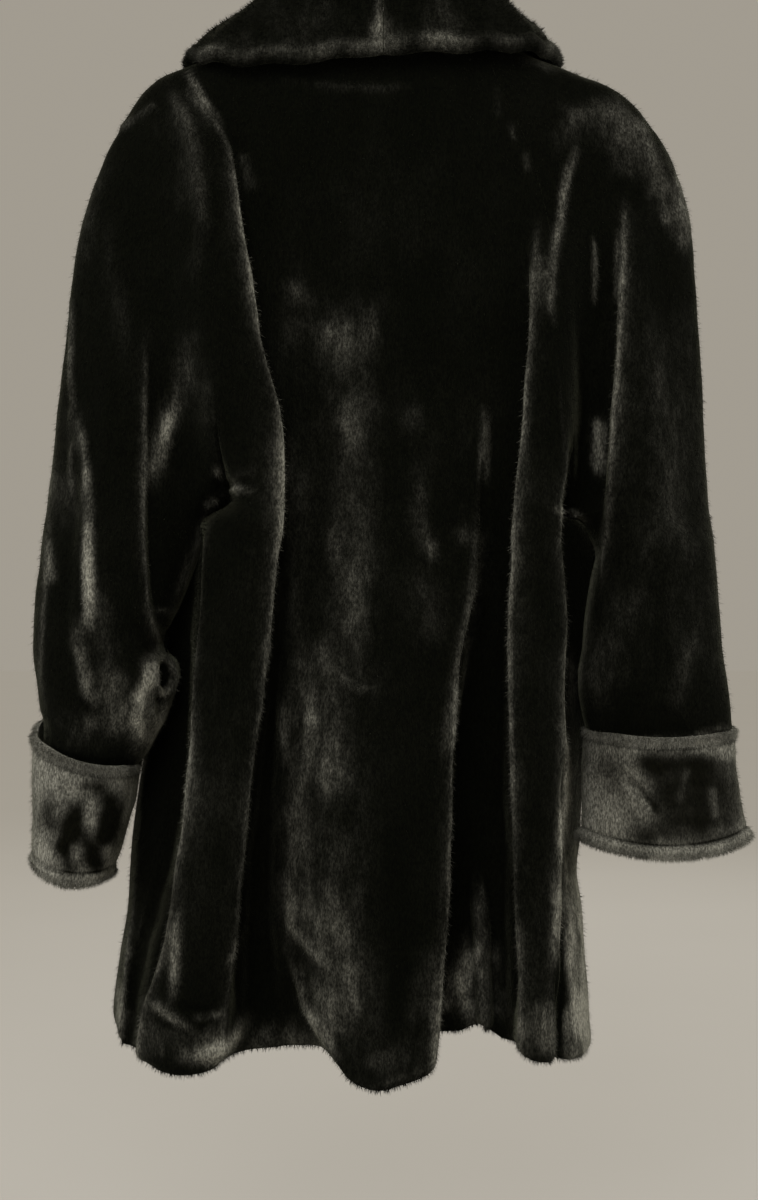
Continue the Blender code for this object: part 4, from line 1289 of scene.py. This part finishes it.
for side in SIGN:
    sleeve_rows = rows_between(NECK, (UNDERARM[side], RING_ROW), (SLEEVE_END[side], TUBE_ROWS))
    reach = SIGN[side] * read(OUTLINE, side, sleeve_rows)
    halves = [evenly(SIGN[side] * (sleeve_edge(side, sleeve_rows, face) + SEAM / 2), reach,
                     sleeve_place(side, face), folds, sleeve_rows, HALF_COLUMNS)
              for face, folds in ((1.0, {**BACK_FOLDS, **SLEEVE_FOLDS}), (-1.0, FRONT_FOLDS))]
    grid, shine = (np.concatenate((behind, before[:, -2::-1]), axis=1)
                   for behind, before in zip(*halves))
    outer, inner, nap_and_light = dress(grid, shine, -SIGN[side], SHOULDER_MARKS + SLEEVE_MARKS[side],
                              ARM_MARKS[side], SLEEVE_SEEDS[side], hem_rows=False)
    panels["sleeve_" + side] = wall("coat_sleeve_" + side, outer, inner, -SIGN[side],
                                    nap_and_light, RING_ROW)
    outward = facing(outer) * -SIGN[side]
    pile_on["sleeve_" + side] = (outer, outward, nap_and_light,
                                 SLEEVE_HAIR + BROW_HAIR * brows(outer, outward))

# %% [markdown]
# ## Turned-back cuffs
#
# Each cuff is a ring sewn from a doubled band, so its two edges are rolled, with a seam
# sunk a finger's width inside each. It could be the sleeve's own grid folded back over
# itself, but two layers so close would show through each other. So it is a ring of its
# own, standing clear of the sleeve: a level section again, tilted with the arm. The rolls
# and seams are moves along its surface.

# %% Points of a cuff
CUFFS = {
    "left": table(
        "drop outer inner deep middle",
        (748, 292, 204, 54, 18), (775, 293, 206, 55, 18), (800, 293, 211, 56, 18),
        (856, 292, 229, 57, 18),
    ),
    "right": table(
        "drop outer inner deep middle",
        (744, 295, 169, 38, 18), (790, 298, 167, 38, 18), (815, 302, 166, 38, 18),
        (838, 308, 164, 37, 18),
    ),
}
# at the top and the bottom edge: how much lower the inner side hangs, and how much
# lower the back and the front do
CUFF_TILT = {"left": (26.0, 14.0), "right": (0.0, 0.0)}
CUFF_DIP = {"left": (6.0, 5.0), "right": (6.0, 12.0)}
# how far the top edge rises in front
CUFF_PEAK = {"left": 24.0, "right": 4.0}
PEAK_ROUND = 0.7


def part_way(pair, part):
    """A value part of the way from a pair's first to its second."""
    return pair[0] + (pair[1] - pair[0]) * part


def cuff_grid(side, rows, columns):
    """A cuff's points, round the arm and down."""
    shape = CUFFS[side]
    down = np.linspace(0, 1, rows)[:, None]
    drop = part_way(shape["drop"][[0, -1]], down)
    angle = np.linspace(0, 2 * np.pi, columns)[None, :]
    outer, inner = read(shape, "outer", drop), read(shape, "inner", drop)
    x = (outer + inner) / 2 + (outer - inner) / 2 * np.cos(angle)
    y = read(shape, "middle", drop) + read(shape, "deep", drop) * np.sin(angle)
    tilt, dip = part_way(CUFF_TILT[side], down), part_way(CUFF_DIP[side], down)
    low = drop + tilt * (1 - np.cos(angle)) / 2 + dip * np.sin(angle) ** 2
    low = low - CUFF_PEAK[side] * np.clip(-np.sin(angle), 0, 1) ** PEAK_ROUND * (1 - down) ** 2
    return np.stack((SIGN[side] * x, y, -low), axis=2)


def rolled(distance, width):
    """The rise of a rolled edge at a distance from it."""
    return np.sqrt(np.clip(1 - (2 * distance / width - 1) ** 2, 0, 1)) * (distance < width)


print("a roll's rise half way across:", rolled(5.0, 10.0))

# %% The cuffs
CUFF_ROWS, CUFF_COLUMNS = 61, 241
CUFF_WALL, THIN_EDGE = 6.0, 1.0
CUFF_EDGE = 4.5
BAND = {"top": 8.5, "bottom": 11.0}
BAND_RISE = {"left": (1.0, 1.2), "right": (0.5, 2.8)}
STITCH_SINK, STITCH_WIDE = 0.9, 1.4
# painted shade along each band's stitched seam: how dark, how far inside it, how wide
SEAM_SHADE = {"top": 0.44, "bottom": 0.32}
SHADE_INSIDE, SHADE_WIDE = 0.6, 1.3
CUFF_NAP, BAND_NAP = 0.54, 0.56
BAND_BLEND = 4.0
CUFF_ROUGH = 0.45
CUFF_HAIR, CUFF_FRINGE = 0.2, 8.0

for side in SIGN:
    grid = cuff_grid(side, CUFF_ROWS, CUFF_COLUMNS)
    outward = facing(grid) * SIGN[side]
    down = lengths(grid, 0)
    up = down[-1:] - down
    edge = np.minimum(up, down)
    top = down < up
    band = np.where(top, BAND["top"], BAND["bottom"])
    move = np.where(top, *BAND_RISE[side]) * rolled(edge, band)
    move = move - STITCH_SINK * np.exp(-(((edge - band) / STITCH_WIDE) ** 2))
    fallen = rounded(edge, CUFF_EDGE)
    move = waved(move - CUFF_WALL / 2 * fallen, grid, (1.0, 60, 61), (0.5, 26, 62))
    nap_and_light, lift = nap_and_light_strokes(CUFF_MARKS[side], grid, outward, 1.0, CUFF_ROUGH)
    front_nap_and_light, front_lift = nap_and_light_strokes(CUFF_FRONT_MARKS[side], grid, outward, -1.0, CUFF_ROUGH)
    nap_and_light = CUFF_NAP + nap_and_light + front_nap_and_light
    on_band = ease((band + 1 - edge) / BAND_BLEND)
    nap_and_light = nap_and_light + (BAND_NAP * waved(1, grid, (0.14, 30, 63)) - nap_and_light) * on_band
    # a thin line of painted shade in the groove of each stitched seam
    dark = np.where(top, SEAM_SHADE["top"], SEAM_SHADE["bottom"])
    dark = dark * waved(0.8, grid, (0.3, 34, 64))
    nap_and_light = nap_and_light - dark * np.exp(-(((edge - band - SHADE_INSIDE) / SHADE_WIDE) ** 2))
    outer = grid + outward * (move + lift + front_lift)[:, :, None]
    thick = CUFF_WALL - (CUFF_WALL - THIN_EDGE) * fallen
    panels["cuff_" + side] = wall("coat_cuff_" + side, outer,
                                  outer - outward * thick[:, :, None], SIGN[side], nap_and_light, 0)
    pile_on["cuff_" + side] = (outer, outward, nap_and_light, CUFF_HAIR + BROW_HAIR * (edge < CUFF_FRINGE))

# %% [markdown]
# ## The shawl collar
#
# A shawl collar stands up round the neck, rolls over and falls outwards. Its two halves
# meet at the middle of the back and run down the fronts as lapels. Level sections can't
# describe a surface that turns over, so each half is one strip whose cross-section
# changes slowly from station to station. Station 0 is the middle of the back, 3 is the
# side of the neck and 8 is the lapel's end. A small puff keeps the fall from lying flat,
# as the canvas inside a real collar does.

# %% Points of the collar
COLLAR = table(
    "station x y seam stand roll lean edge_x edge_y edge_drop puff",
    (0, 0.3, 34, 148.5, 34, 11, 0.0, 0.3, 66, 194, 0.14),
    (1, 43, 29, 143, 32, 11, 0.0, 84, 63, 196, 0.12),
    (2, 66, 14, 136, 26, 11, 0.0, 147, 42, 190, 0.05),
    (3, 75, -6, 135, 20, 10, 0.1, 168, -2, 185, 0.0),
    (4, 69, -27, 137, 14, 11, 0.4, 162, -46, 203, 0.05),
    (5, 56, -46, 180, 10, 11, 0.8, 147, -60, 268, 0.12),
    (6, 43, -53, 250, 8, 10, 1.0, 126, -65, 330, 0.14),
    (7, 22, -56, 340, 8, 10, 1.0, 82, -69, 396, 0.14),
    (8, 3, -57, 432, 8, 9, 1.0, 30, -67, 446, 0.14),
)
# how far the fall's curve is drawn out below the roll and above its edge
FALL_DOWN, FALL_END = 0.26, 0.28
COLLAR_SAG = {"left": 5.0, "right": -6.0}
SAG_STATIONS = 2.6
RIPPLE, RIPPLE_TURN = 1.6, 9.0
# the right half falls less wide than the left
COLLAR_REACH = {"left": 1.0, "right": 0.885}
STAND_PART, ROLL_PART = 0.2, 0.5


def collar_grid(side, columns, rows):
    """The collar's showing side: up its stand, over the roll and down the fall."""
    station = rows * (len(COLLAR["x"]) - 1)
    now = {name: read(COLLAR, name, station)[:, None] for name in COLLAR}
    wide = 1 + (COLLAR_REACH[side] - 1) * ease(rows[:, None] * 4)
    start = np.stack((now["x"], now["y"], -now["seam"]), axis=2)
    sag = COLLAR_SAG[side] * np.sin(np.pi * np.clip(station / SAG_STATIONS, 0, 1))[:, None]
    sag = sag + RIPPLE * np.sin(station * RIPPLE_TURN + 1.0)[:, None] * ease(station * 3)[:, None]
    end = np.stack((now["edge_x"] * wide, now["edge_y"], -now["edge_drop"] - sag), axis=2)
    turn = now["lean"] * np.pi / 2
    up = np.stack((0 * turn, -np.sin(turn), np.cos(turn)), axis=2)
    out = (end - start) - up * np.sum((end - start) * up, axis=2, keepdims=True)
    out = out / np.linalg.norm(out, axis=2, keepdims=True)
    stand, roll = now["stand"][:, :, None], now["roll"][:, :, None]
    part = columns[None, :, None]
    top = start + up * stand
    over = top + out * 2 * roll
    rising = start + (top - start) * np.clip(part / STAND_PART, 0, 1)
    angle = np.pi * np.clip((part - STAND_PART) / (ROLL_PART - STAND_PART), 0, 1)
    turning = top + out * roll * (1 - np.cos(angle)) + up * roll * np.sin(angle)
    t = np.clip((part - ROLL_PART) / (1 - ROLL_PART), 0, 1)
    long = np.linalg.norm(end - over, axis=2, keepdims=True)
    puff = now["puff"][:, :, None]
    near = over + out * puff * long - up * (FALL_DOWN - puff) * long
    far = end + up * FALL_END * long
    falling = ((1 - t) ** 3 * over + 3 * t * (1 - t) ** 2 * near
               + 3 * t * t * (1 - t) * far + t**3 * end)
    grid = np.where(part < STAND_PART, rising, np.where(part < ROLL_PART, turning, falling))
    return grid * (SIGN[side], 1.0, 1.0)


print("stations along half the collar:", len(COLLAR["x"]))

# %% The collar
COLLAR_ROWS = 199
STAND_COLUMNS, ROLL_COLUMNS, FALL_COLUMNS = 9, 25, 56
COLLAR_WALL = 5.0
COLLAR_EDGE, EDGE_SINK = 5.0, 3.4
ROLL_BAND, ROLL_RISE = 15.0, 2.6
# a painted highlight along the fall's rounded edge: how pale, how far in, how wide
COLLAR_EDGE_HIGHLIGHT, HIGHLIGHT_INSIDE, HIGHLIGHT_WIDE = 0.24, 7.0, 6.5
COLLAR_HAIR, COLLAR_FRINGE = 0.4, 9.0

collar_columns = np.concatenate((
    np.linspace(0, STAND_PART, STAND_COLUMNS),
    np.linspace(STAND_PART, ROLL_PART, ROLL_COLUMNS)[1:],
    np.linspace(ROLL_PART, 1.0, FALL_COLUMNS)[1:]))
for side in SIGN:
    grid = collar_grid(side, collar_columns, np.linspace(0, 1, COLLAR_ROWS))
    outward = facing(grid) * SIGN[side]
    edge = lengths(grid, 1)
    edge = edge[:, -1:] - edge
    fallen = rounded(edge, COLLAR_EDGE)
    nap_and_light, lift = nap_and_light_strokes(COLLAR_MARKS, grid, outward, 1.0)
    # a painted highlight just inside the fall's rounded edge
    glow = COLLAR_EDGE_HIGHLIGHT * np.exp(-(((edge - HIGHLIGHT_INSIDE) / HIGHLIGHT_WIDE) ** 2))
    nap_and_light = nap_and_light + glow * waved(0.8, grid, (0.3, 40, 73))
    move = waved(lift - EDGE_SINK * fallen, grid, (0.8, 70, 71))
    move = move + ROLL_RISE * rolled(edge, ROLL_BAND)
    outer = grid + outward * move[:, :, None]
    thick = COLLAR_WALL - (COLLAR_WALL - THIN_EDGE) * fallen
    panels["collar_" + side] = wall("coat_collar_" + side, outer,
                                    outer - outward * thick[:, :, None], SIGN[side], nap_and_light)
    pile_on["collar_" + side] = (outer, outward, nap_and_light,
                                 COLLAR_HAIR + BROW_HAIR * (edge < COLLAR_FRINGE))

# %% [markdown]
# ## The pile's own hairs
#
# A material can't change an outline, and what tells the eye that this is pile is its
# soft edge. So short hairs are scattered over each panel, thickest where its edge or a
# fold's brow stands against something else. A hair system would grow strands that an
# exported model can't keep. Each hair here is one narrow triangle: arrays make many
# thousands of them in a moment, as one joined mesh for each panel.

# %% Grow hairs on a grid
HAIR_LONG, HAIR_WIDE = 5.0, 0.55
HAIR_VARIES = (0.6, 1.2)
OUTWARDS, DOWNWARDS, UNRULY = 0.55, 0.75, 0.28
ROOT_DEEP = 0.4


def one_long(vectors):
    """The same directions, each one long."""
    return vectors / np.maximum(np.linalg.norm(vectors, axis=1, keepdims=True), 1e-6)


def hairs(name, panel, count, seed):
    """Short hairs on a grid, more of them where the panel's weight is high."""
    grid, outward, nap_and_light, weight = panel
    generator = np.random.default_rng(seed)
    down = np.gradient(grid, axis=0)
    along = np.gradient(grid, axis=1)
    area = np.linalg.norm(np.cross(down, along), axis=2)[:-1, :-1]
    chance = (area * weight[:-1, :-1]).ravel()
    cell = generator.choice(len(chance), count, p=chance / chance.sum())
    row, column = np.divmod(cell, area.shape[1])
    u, v = generator.random(count)[:, None], generator.random(count)[:, None]

    def inside(values):
        values = values[:, :, None] if values.ndim == 2 else values
        return ((1 - u) * (1 - v) * values[row, column] + u * (1 - v) * values[row + 1, column]
                + (1 - u) * v * values[row, column + 1] + u * v * values[row + 1, column + 1])

    root, out = inside(grid), inside(outward)
    fall = one_long(down[row, column])
    way = out * OUTWARDS + fall * DOWNWARDS + generator.normal(size=(count, 3)) * UNRULY
    way = one_long(way)
    across = one_long(np.cross(way, out))
    root = root - out * ROOT_DEEP
    half = across * HAIR_WIDE / 2
    tip = root + way * HAIR_LONG * generator.uniform(*HAIR_VARIES, (count, 1))
    place = np.stack((root - half, root + half, tip), axis=1).reshape(-1, 3) * MM
    data = bpy.data.meshes.new(name)
    data.from_pydata(place.tolist(), [], np.arange(3 * count).reshape(-1, 3).tolist())
    shine = np.repeat(inside(nap_and_light).ravel(), 3).astype(np.float32)
    keep_nap_and_light(data, shine)
    return add_object(name, data)


print("a hair is", HAIR_LONG, "mm long and", HAIR_WIDE, "mm wide at its root")

# %% Scatter them over the panels
HAIRS = {"back": 52000, "front": 15000, "sleeve": 30000, "cuff": 20000, "collar": 20000}
HAIR_SEED = 80

piles = {node: hairs("pile_" + node, panel, HAIRS[node.split("_")[0]], HAIR_SEED + k)
         for k, (node, panel) in enumerate(pile_on.items())}
print("hairs:", sum(len(made.data.polygons) for made in piles.values()))

# %% [markdown]
# ## Materials
#
# A material is a small network of nodes. Written out link by link it is hard to read,
# so a value is wrapped in a class that knows how to add itself to another: the
# expression `1 - mask` then adds the Math node by itself. Any other kind of node comes
# from one method, which takes the node's type, its settings and what goes in.

# %% A wrapped socket
class Wire:
    """A value on its way through a material's nodes."""

    def __init__(self, tree, socket=None):
        self.tree = tree
        self.socket = socket

    def node(self, kind, settings=(), inputs=(), output=0):
        """Adds any node: its type, its settings, then the values or links of its sockets."""
        made = self.tree.nodes.new(kind)
        for name, value in dict(settings).items():
            setattr(made, name, value)
        for name, value in dict(inputs).items():
            if isinstance(value, Wire):
                self.tree.links.new(value.socket, made.inputs[name])
            else:
                made.inputs[name].default_value = value
        return Wire(self.tree, made.outputs[output] if made.outputs else None)

    def maths(self, operation, *values):
        """Adds a Math node."""
        return self.node("ShaderNodeMath", {"operation": operation}, enumerate(values))

    def __add__(self, other):
        return self.maths("ADD", self, other)

    def __radd__(self, other):
        return self.maths("ADD", other, self)

    def __sub__(self, other):
        return self.maths("SUBTRACT", self, other)

    def __rsub__(self, other):
        return self.maths("SUBTRACT", other, self)

    def __mul__(self, other):
        return self.maths("MULTIPLY", self, other)

    def __rmul__(self, other):
        return self.maths("MULTIPLY", other, self)

    def between(self, low, high):
        """0 at low, 1 at high, with a soft start and end."""
        return self.node("ShaderNodeMapRange", {"interpolation_type": "SMOOTHSTEP"},
                         {0: self, 1: low, 2: high})

    def blend(self, first, second):
        """Blends two colours by this value."""
        return self.node("ShaderNodeMix", {"data_type": "RGBA"},
                         {0: self, 6: first, 7: second}, 2)

    def shaded(self, amount, dark, light):
        """Multiplies this colour by one that goes from dark to light with an amount."""
        return self.node("ShaderNodeMix", {"data_type": "RGBA", "blend_type": "MULTIPLY"},
                         {0: 1.0, 6: self, 7: amount.blend(dark, light)}, 2)


print("sums that also take a plain number first:",
      [name for name in vars(Wire) if name.startswith("__r")])


# %% Start and end a material
def new_material(name):
    """An empty node material, a wire to start it from and places on the object."""
    made = bpy.data.materials.new(name)
    made.use_nodes = True
    made.node_tree.nodes.clear()
    start = Wire(made.node_tree)
    return made, start, start.node("ShaderNodeTexCoord", output="Object")


def noise(start, place, scale, detail):
    """A noise pattern, about 0 to 1."""
    return start.node("ShaderNodeTexNoise", {}, {"Vector": place, "Scale": scale,
                                                  "Detail": detail})


def surface(start, inputs):
    """Ends a material with a shader and its output."""
    shader = start.node("ShaderNodeBsdfPrincipled", {}, inputs)
    start.node("ShaderNodeOutputMaterial", {}, {"Surface": shader})


def opaque(colour, brightness=1.0):
    """A colour with the fourth number that nodes ask for."""
    return (*(brightness * part for part in colour), 1)


print("a darker grey:", opaque((0.5, 0.5, 0.5), 0.8))

# %% [markdown]
# ## The pile
#
# Black pile is nearly black where one looks down into it and soft grey where it is
# brushed over. Plain sheen alone would make every edge equally pale. So the nap kept on
# the points mixes two colours: it holds the brushed patches, and also the painted
# highlights along brows and edges and the painted shade in creases. Noise at five sizes
# breaks it up: broad drifts, hanging patches, tufts, strands and a fine grain. A little
# sheen adds the bloom at a turned edge. The cuffs wear the same pile, brushed up paler
# and more evenly.

# %% The pile
WHITE = (1.0, 1.0, 1.0)


def pile(name, dark, light, mottle, streak):
    """Short black pile: brushed patches and painted light from the nap, tufts and a fine grain."""
    made, start, place = new_material(name)
    # each noise has its scale and detail, and then the part of its range that is used
    hanging = start.node("ShaderNodeMapping", {}, {"Vector": place, "Scale": (1.0, 1.0, 0.4)})
    drift = noise(start, place, 13.0, 2.0).between(0.36, 0.66)
    patches = noise(start, hanging, 30.0, 3.0).between(0.3, 0.7)
    tufts = noise(start, hanging, 210.0, 3.0).between(0.3, 0.7)
    strands = noise(start, hanging, 800.0, 2.0).between(0.25, 0.75)
    grain = noise(start, place, 1700.0, 2.0)
    # the nap brings brushed patches and painted highlights and shade into the colour
    nap_and_light = start.node("ShaderNodeAttribute", {"attribute_name": "nap_and_light"}, output="Fac")
    broken = (patches * streak + (1 - streak / 2)) * (tufts * (streak / 2) + (1 - streak / 4))
    amount = nap_and_light * broken * (strands * 0.4 + 0.8)
    amount = amount + (drift + patches * 0.8 + tufts * 0.5) * mottle
    shade = amount.between(0.0, 1.1).blend(opaque(dark), opaque(light))
    shade = shade.shaded(grain, opaque(WHITE, 0.4), opaque(WHITE, 1.5))
    shade = shade.shaded(strands, opaque(WHITE, 0.55), opaque(WHITE, 1.45))
    bump = start.node("ShaderNodeBump", {}, {"Height": strands * 0.5 + grain * 0.6,
                                             "Strength": 0.5, "Distance": 0.001})
    surface(start, {
        "Base Color": shade, "Roughness": 0.92, "Specular IOR Level": 0.04,
        "Sheen Weight": 0.30, "Sheen Roughness": 0.25, "Sheen Tint": (0.34, 0.35, 0.24, 1),
        "Normal": bump,
    })
    return made


black_pile = pile("black pile", (0.0018, 0.0021, 0.0009), (0.25, 0.245, 0.205), 0.02, 1.0)
cuff_pile = pile("cuff pile", (0.004, 0.004, 0.0022), (0.27, 0.265, 0.225), 0.06, 0.45)
print("nodes in the black pile:", len(black_pile.node_tree.nodes))

# %% [markdown]
# ## The hanger's finishes
#
# The bar is moulded black plastic and the hook is plated wire. Both shapes come as they
# are from the frame, because almost nothing of them shows, and they only need a finish.
# An even gloss would look unreal, so noise stirs it a little: the plastic has the faint
# grain of its mould, and the wire has been handled.

# %% The hanger's finishes
def smooth_finish(name, colour, roughness, metallic):
    """Moulded plastic or drawn wire, with a little unevenness in its gloss."""
    made, start, place = new_material(name)
    wear = noise(start, place, 90.0, 4.0)
    grain = noise(start, place, 900.0, 2.0)
    surface(start, {
        "Base Color": wear.blend(opaque(colour), opaque(colour, 0.8)),
        "Roughness": wear * 0.2 + roughness, "Metallic": metallic,
        "Normal": start.node("ShaderNodeBump", {}, {"Height": grain, "Strength": 0.15,
                                                    "Distance": 0.0004}),
    })
    return made


plastic = smooth_finish("moulded plastic", (0.02, 0.02, 0.02), 0.35, 0.0)
wire = smooth_finish("drawn wire", (0.55, 0.55, 0.56), 0.22, 1.0)
for node, finish in (("hanger_bar", plastic), ("hanger_hook", wire)):
    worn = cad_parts[node].data.materials
    worn.clear()
    worn.append(finish)
    print(node, "is", finish.name)

# %% [markdown]
# ## Surround
#
# The coat hangs before a plain warm grey. A wall close behind it would catch its shadow,
# so there is only a wide floor well below the hem. It glows faintly, so that it stays as
# even as the backdrop from any side.

# %% Floor
SURROUND = (0.36, 0.33, 0.28)
FLOOR_BELOW = 0.25
FLOOR_REACH = 14.0


def plain_floor():
    """A wide pale floor below the hem."""
    low = cad_box[0].z - FLOOR_BELOW
    data = bpy.data.meshes.new("floor")
    corners = [(x * FLOOR_REACH, y * FLOOR_REACH, low)
               for x, y in ((-1, -1), (1, -1), (1, 1), (-1, 1))]
    data.from_pydata(corners, [], [(0, 1, 2, 3)])
    finish, start, place = new_material("pale floor")
    surface(start, {
        "Base Color": noise(start, place, 3.0, 3.0).blend((0.27, 0.265, 0.25, 1),
                                                          (0.29, 0.285, 0.27, 1)),
        "Roughness": 0.85, "Specular IOR Level": 0.0,
        "Emission Color": opaque(SURROUND), "Emission Strength": 0.7})
    data.materials.append(finish)
    return add_object("floor", data)


plain_floor()
print("the floor's height, m:", round(cad_box[0].z - FLOOR_BELOW, 3))

# %% [markdown]
# ## Light
#
# Black pile shows its folds only by what light catches at their edges. One small lamp
# would draw hard shadows in every hollow. So a large soft key stands above the camera,
# and a fill at each side gives the outer edges their pale rim. One more fill from the
# front keeps that side readable when the coat is turned round.

# %% Light
world = bpy.data.worlds.new("studio")
world.use_nodes = True
backdrop = world.node_tree.nodes["Background"].inputs
backdrop["Color"].default_value = opaque(SURROUND)
backdrop["Strength"].default_value = 1.0
bpy.context.scene.world = world
bpy.context.scene.view_settings.view_transform = "Standard"


def soft_light(name, place, aim, size, power):
    """A square area light that points at a place."""
    data = bpy.data.lights.new(name, "AREA")
    data.size = size
    data.energy = power
    made = add_object(name, data)
    made.location = place
    made.rotation_euler = (Vector(aim) - Vector(place)).to_track_quat("-Z", "Y").to_euler()
    print(name, "light, watts:", power)


soft_light("key", (0.5, 2.4, 0.9), (0.0, 0.0, -0.5), 1.6, 34.0)
soft_light("left fill", (1.9, 0.5, -0.2), (0.0, 0.0, -0.6), 1.0, 14.0)
soft_light("right fill", (-1.9, 0.5, -0.2), (0.0, 0.0, -0.6), 1.0, 14.0)
soft_light("front fill", (-0.6, -2.4, 0.7), (0.0, 0.0, -0.5), 1.4, 20.0)

# %% [markdown]
# ## Hand the pieces over
#
# Each panel takes the place of its plain solid in the frame and rides on the coat's one
# body, with its hairs. A cutter would lay each panel flat before sewing, so its flat
# width and length in metres, and the area of the cut piece, are listed too; the area is
# printed beside half the panel's surface. They could be read off the mesh, but its small
# waves make it a little larger than its cloth.

# %% Flat panels
FLAT = {
    "back": (0.66, 0.90, 0.43), "front_left": (0.28, 0.88, 0.15),
    "front_right": (0.26, 0.88, 0.137), "sleeve_left": (0.40, 0.72, 0.205),
    "sleeve_right": (0.40, 0.70, 0.192), "collar_left": (0.16, 0.56, 0.06),
    "collar_right": (0.15, 0.56, 0.055), "cuff_left": (0.30, 0.105, 0.0315),
    "cuff_right": (0.30, 0.105, 0.0315),
}
print("cloth in the coat, m2:", round(sum(area for _, _, area in FLAT.values()), 3))

# %% Hand the pieces over
for node, (width, length, area) in FLAT.items():
    piece = panels[node]
    finish, slot = ((cuff_pile, "cuff_pile") if node.startswith("cuff")
                    else (black_pile, "black_pile"))
    piece.data.materials.append(finish)
    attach(piece, "root")
    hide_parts(node)
    half = sum(face.area for face in piece.data.polygons) / 2
    print(node, "half surface, m2:", round(half, 4), "cut:", area)
    piles[node].data.materials.append(finish)
    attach(piles[node], "root")

# %% [markdown]
# ## Sizes
#
# Hairs and rounded folds stand out a few millimetres past the frame, and more would be a
# mistake.
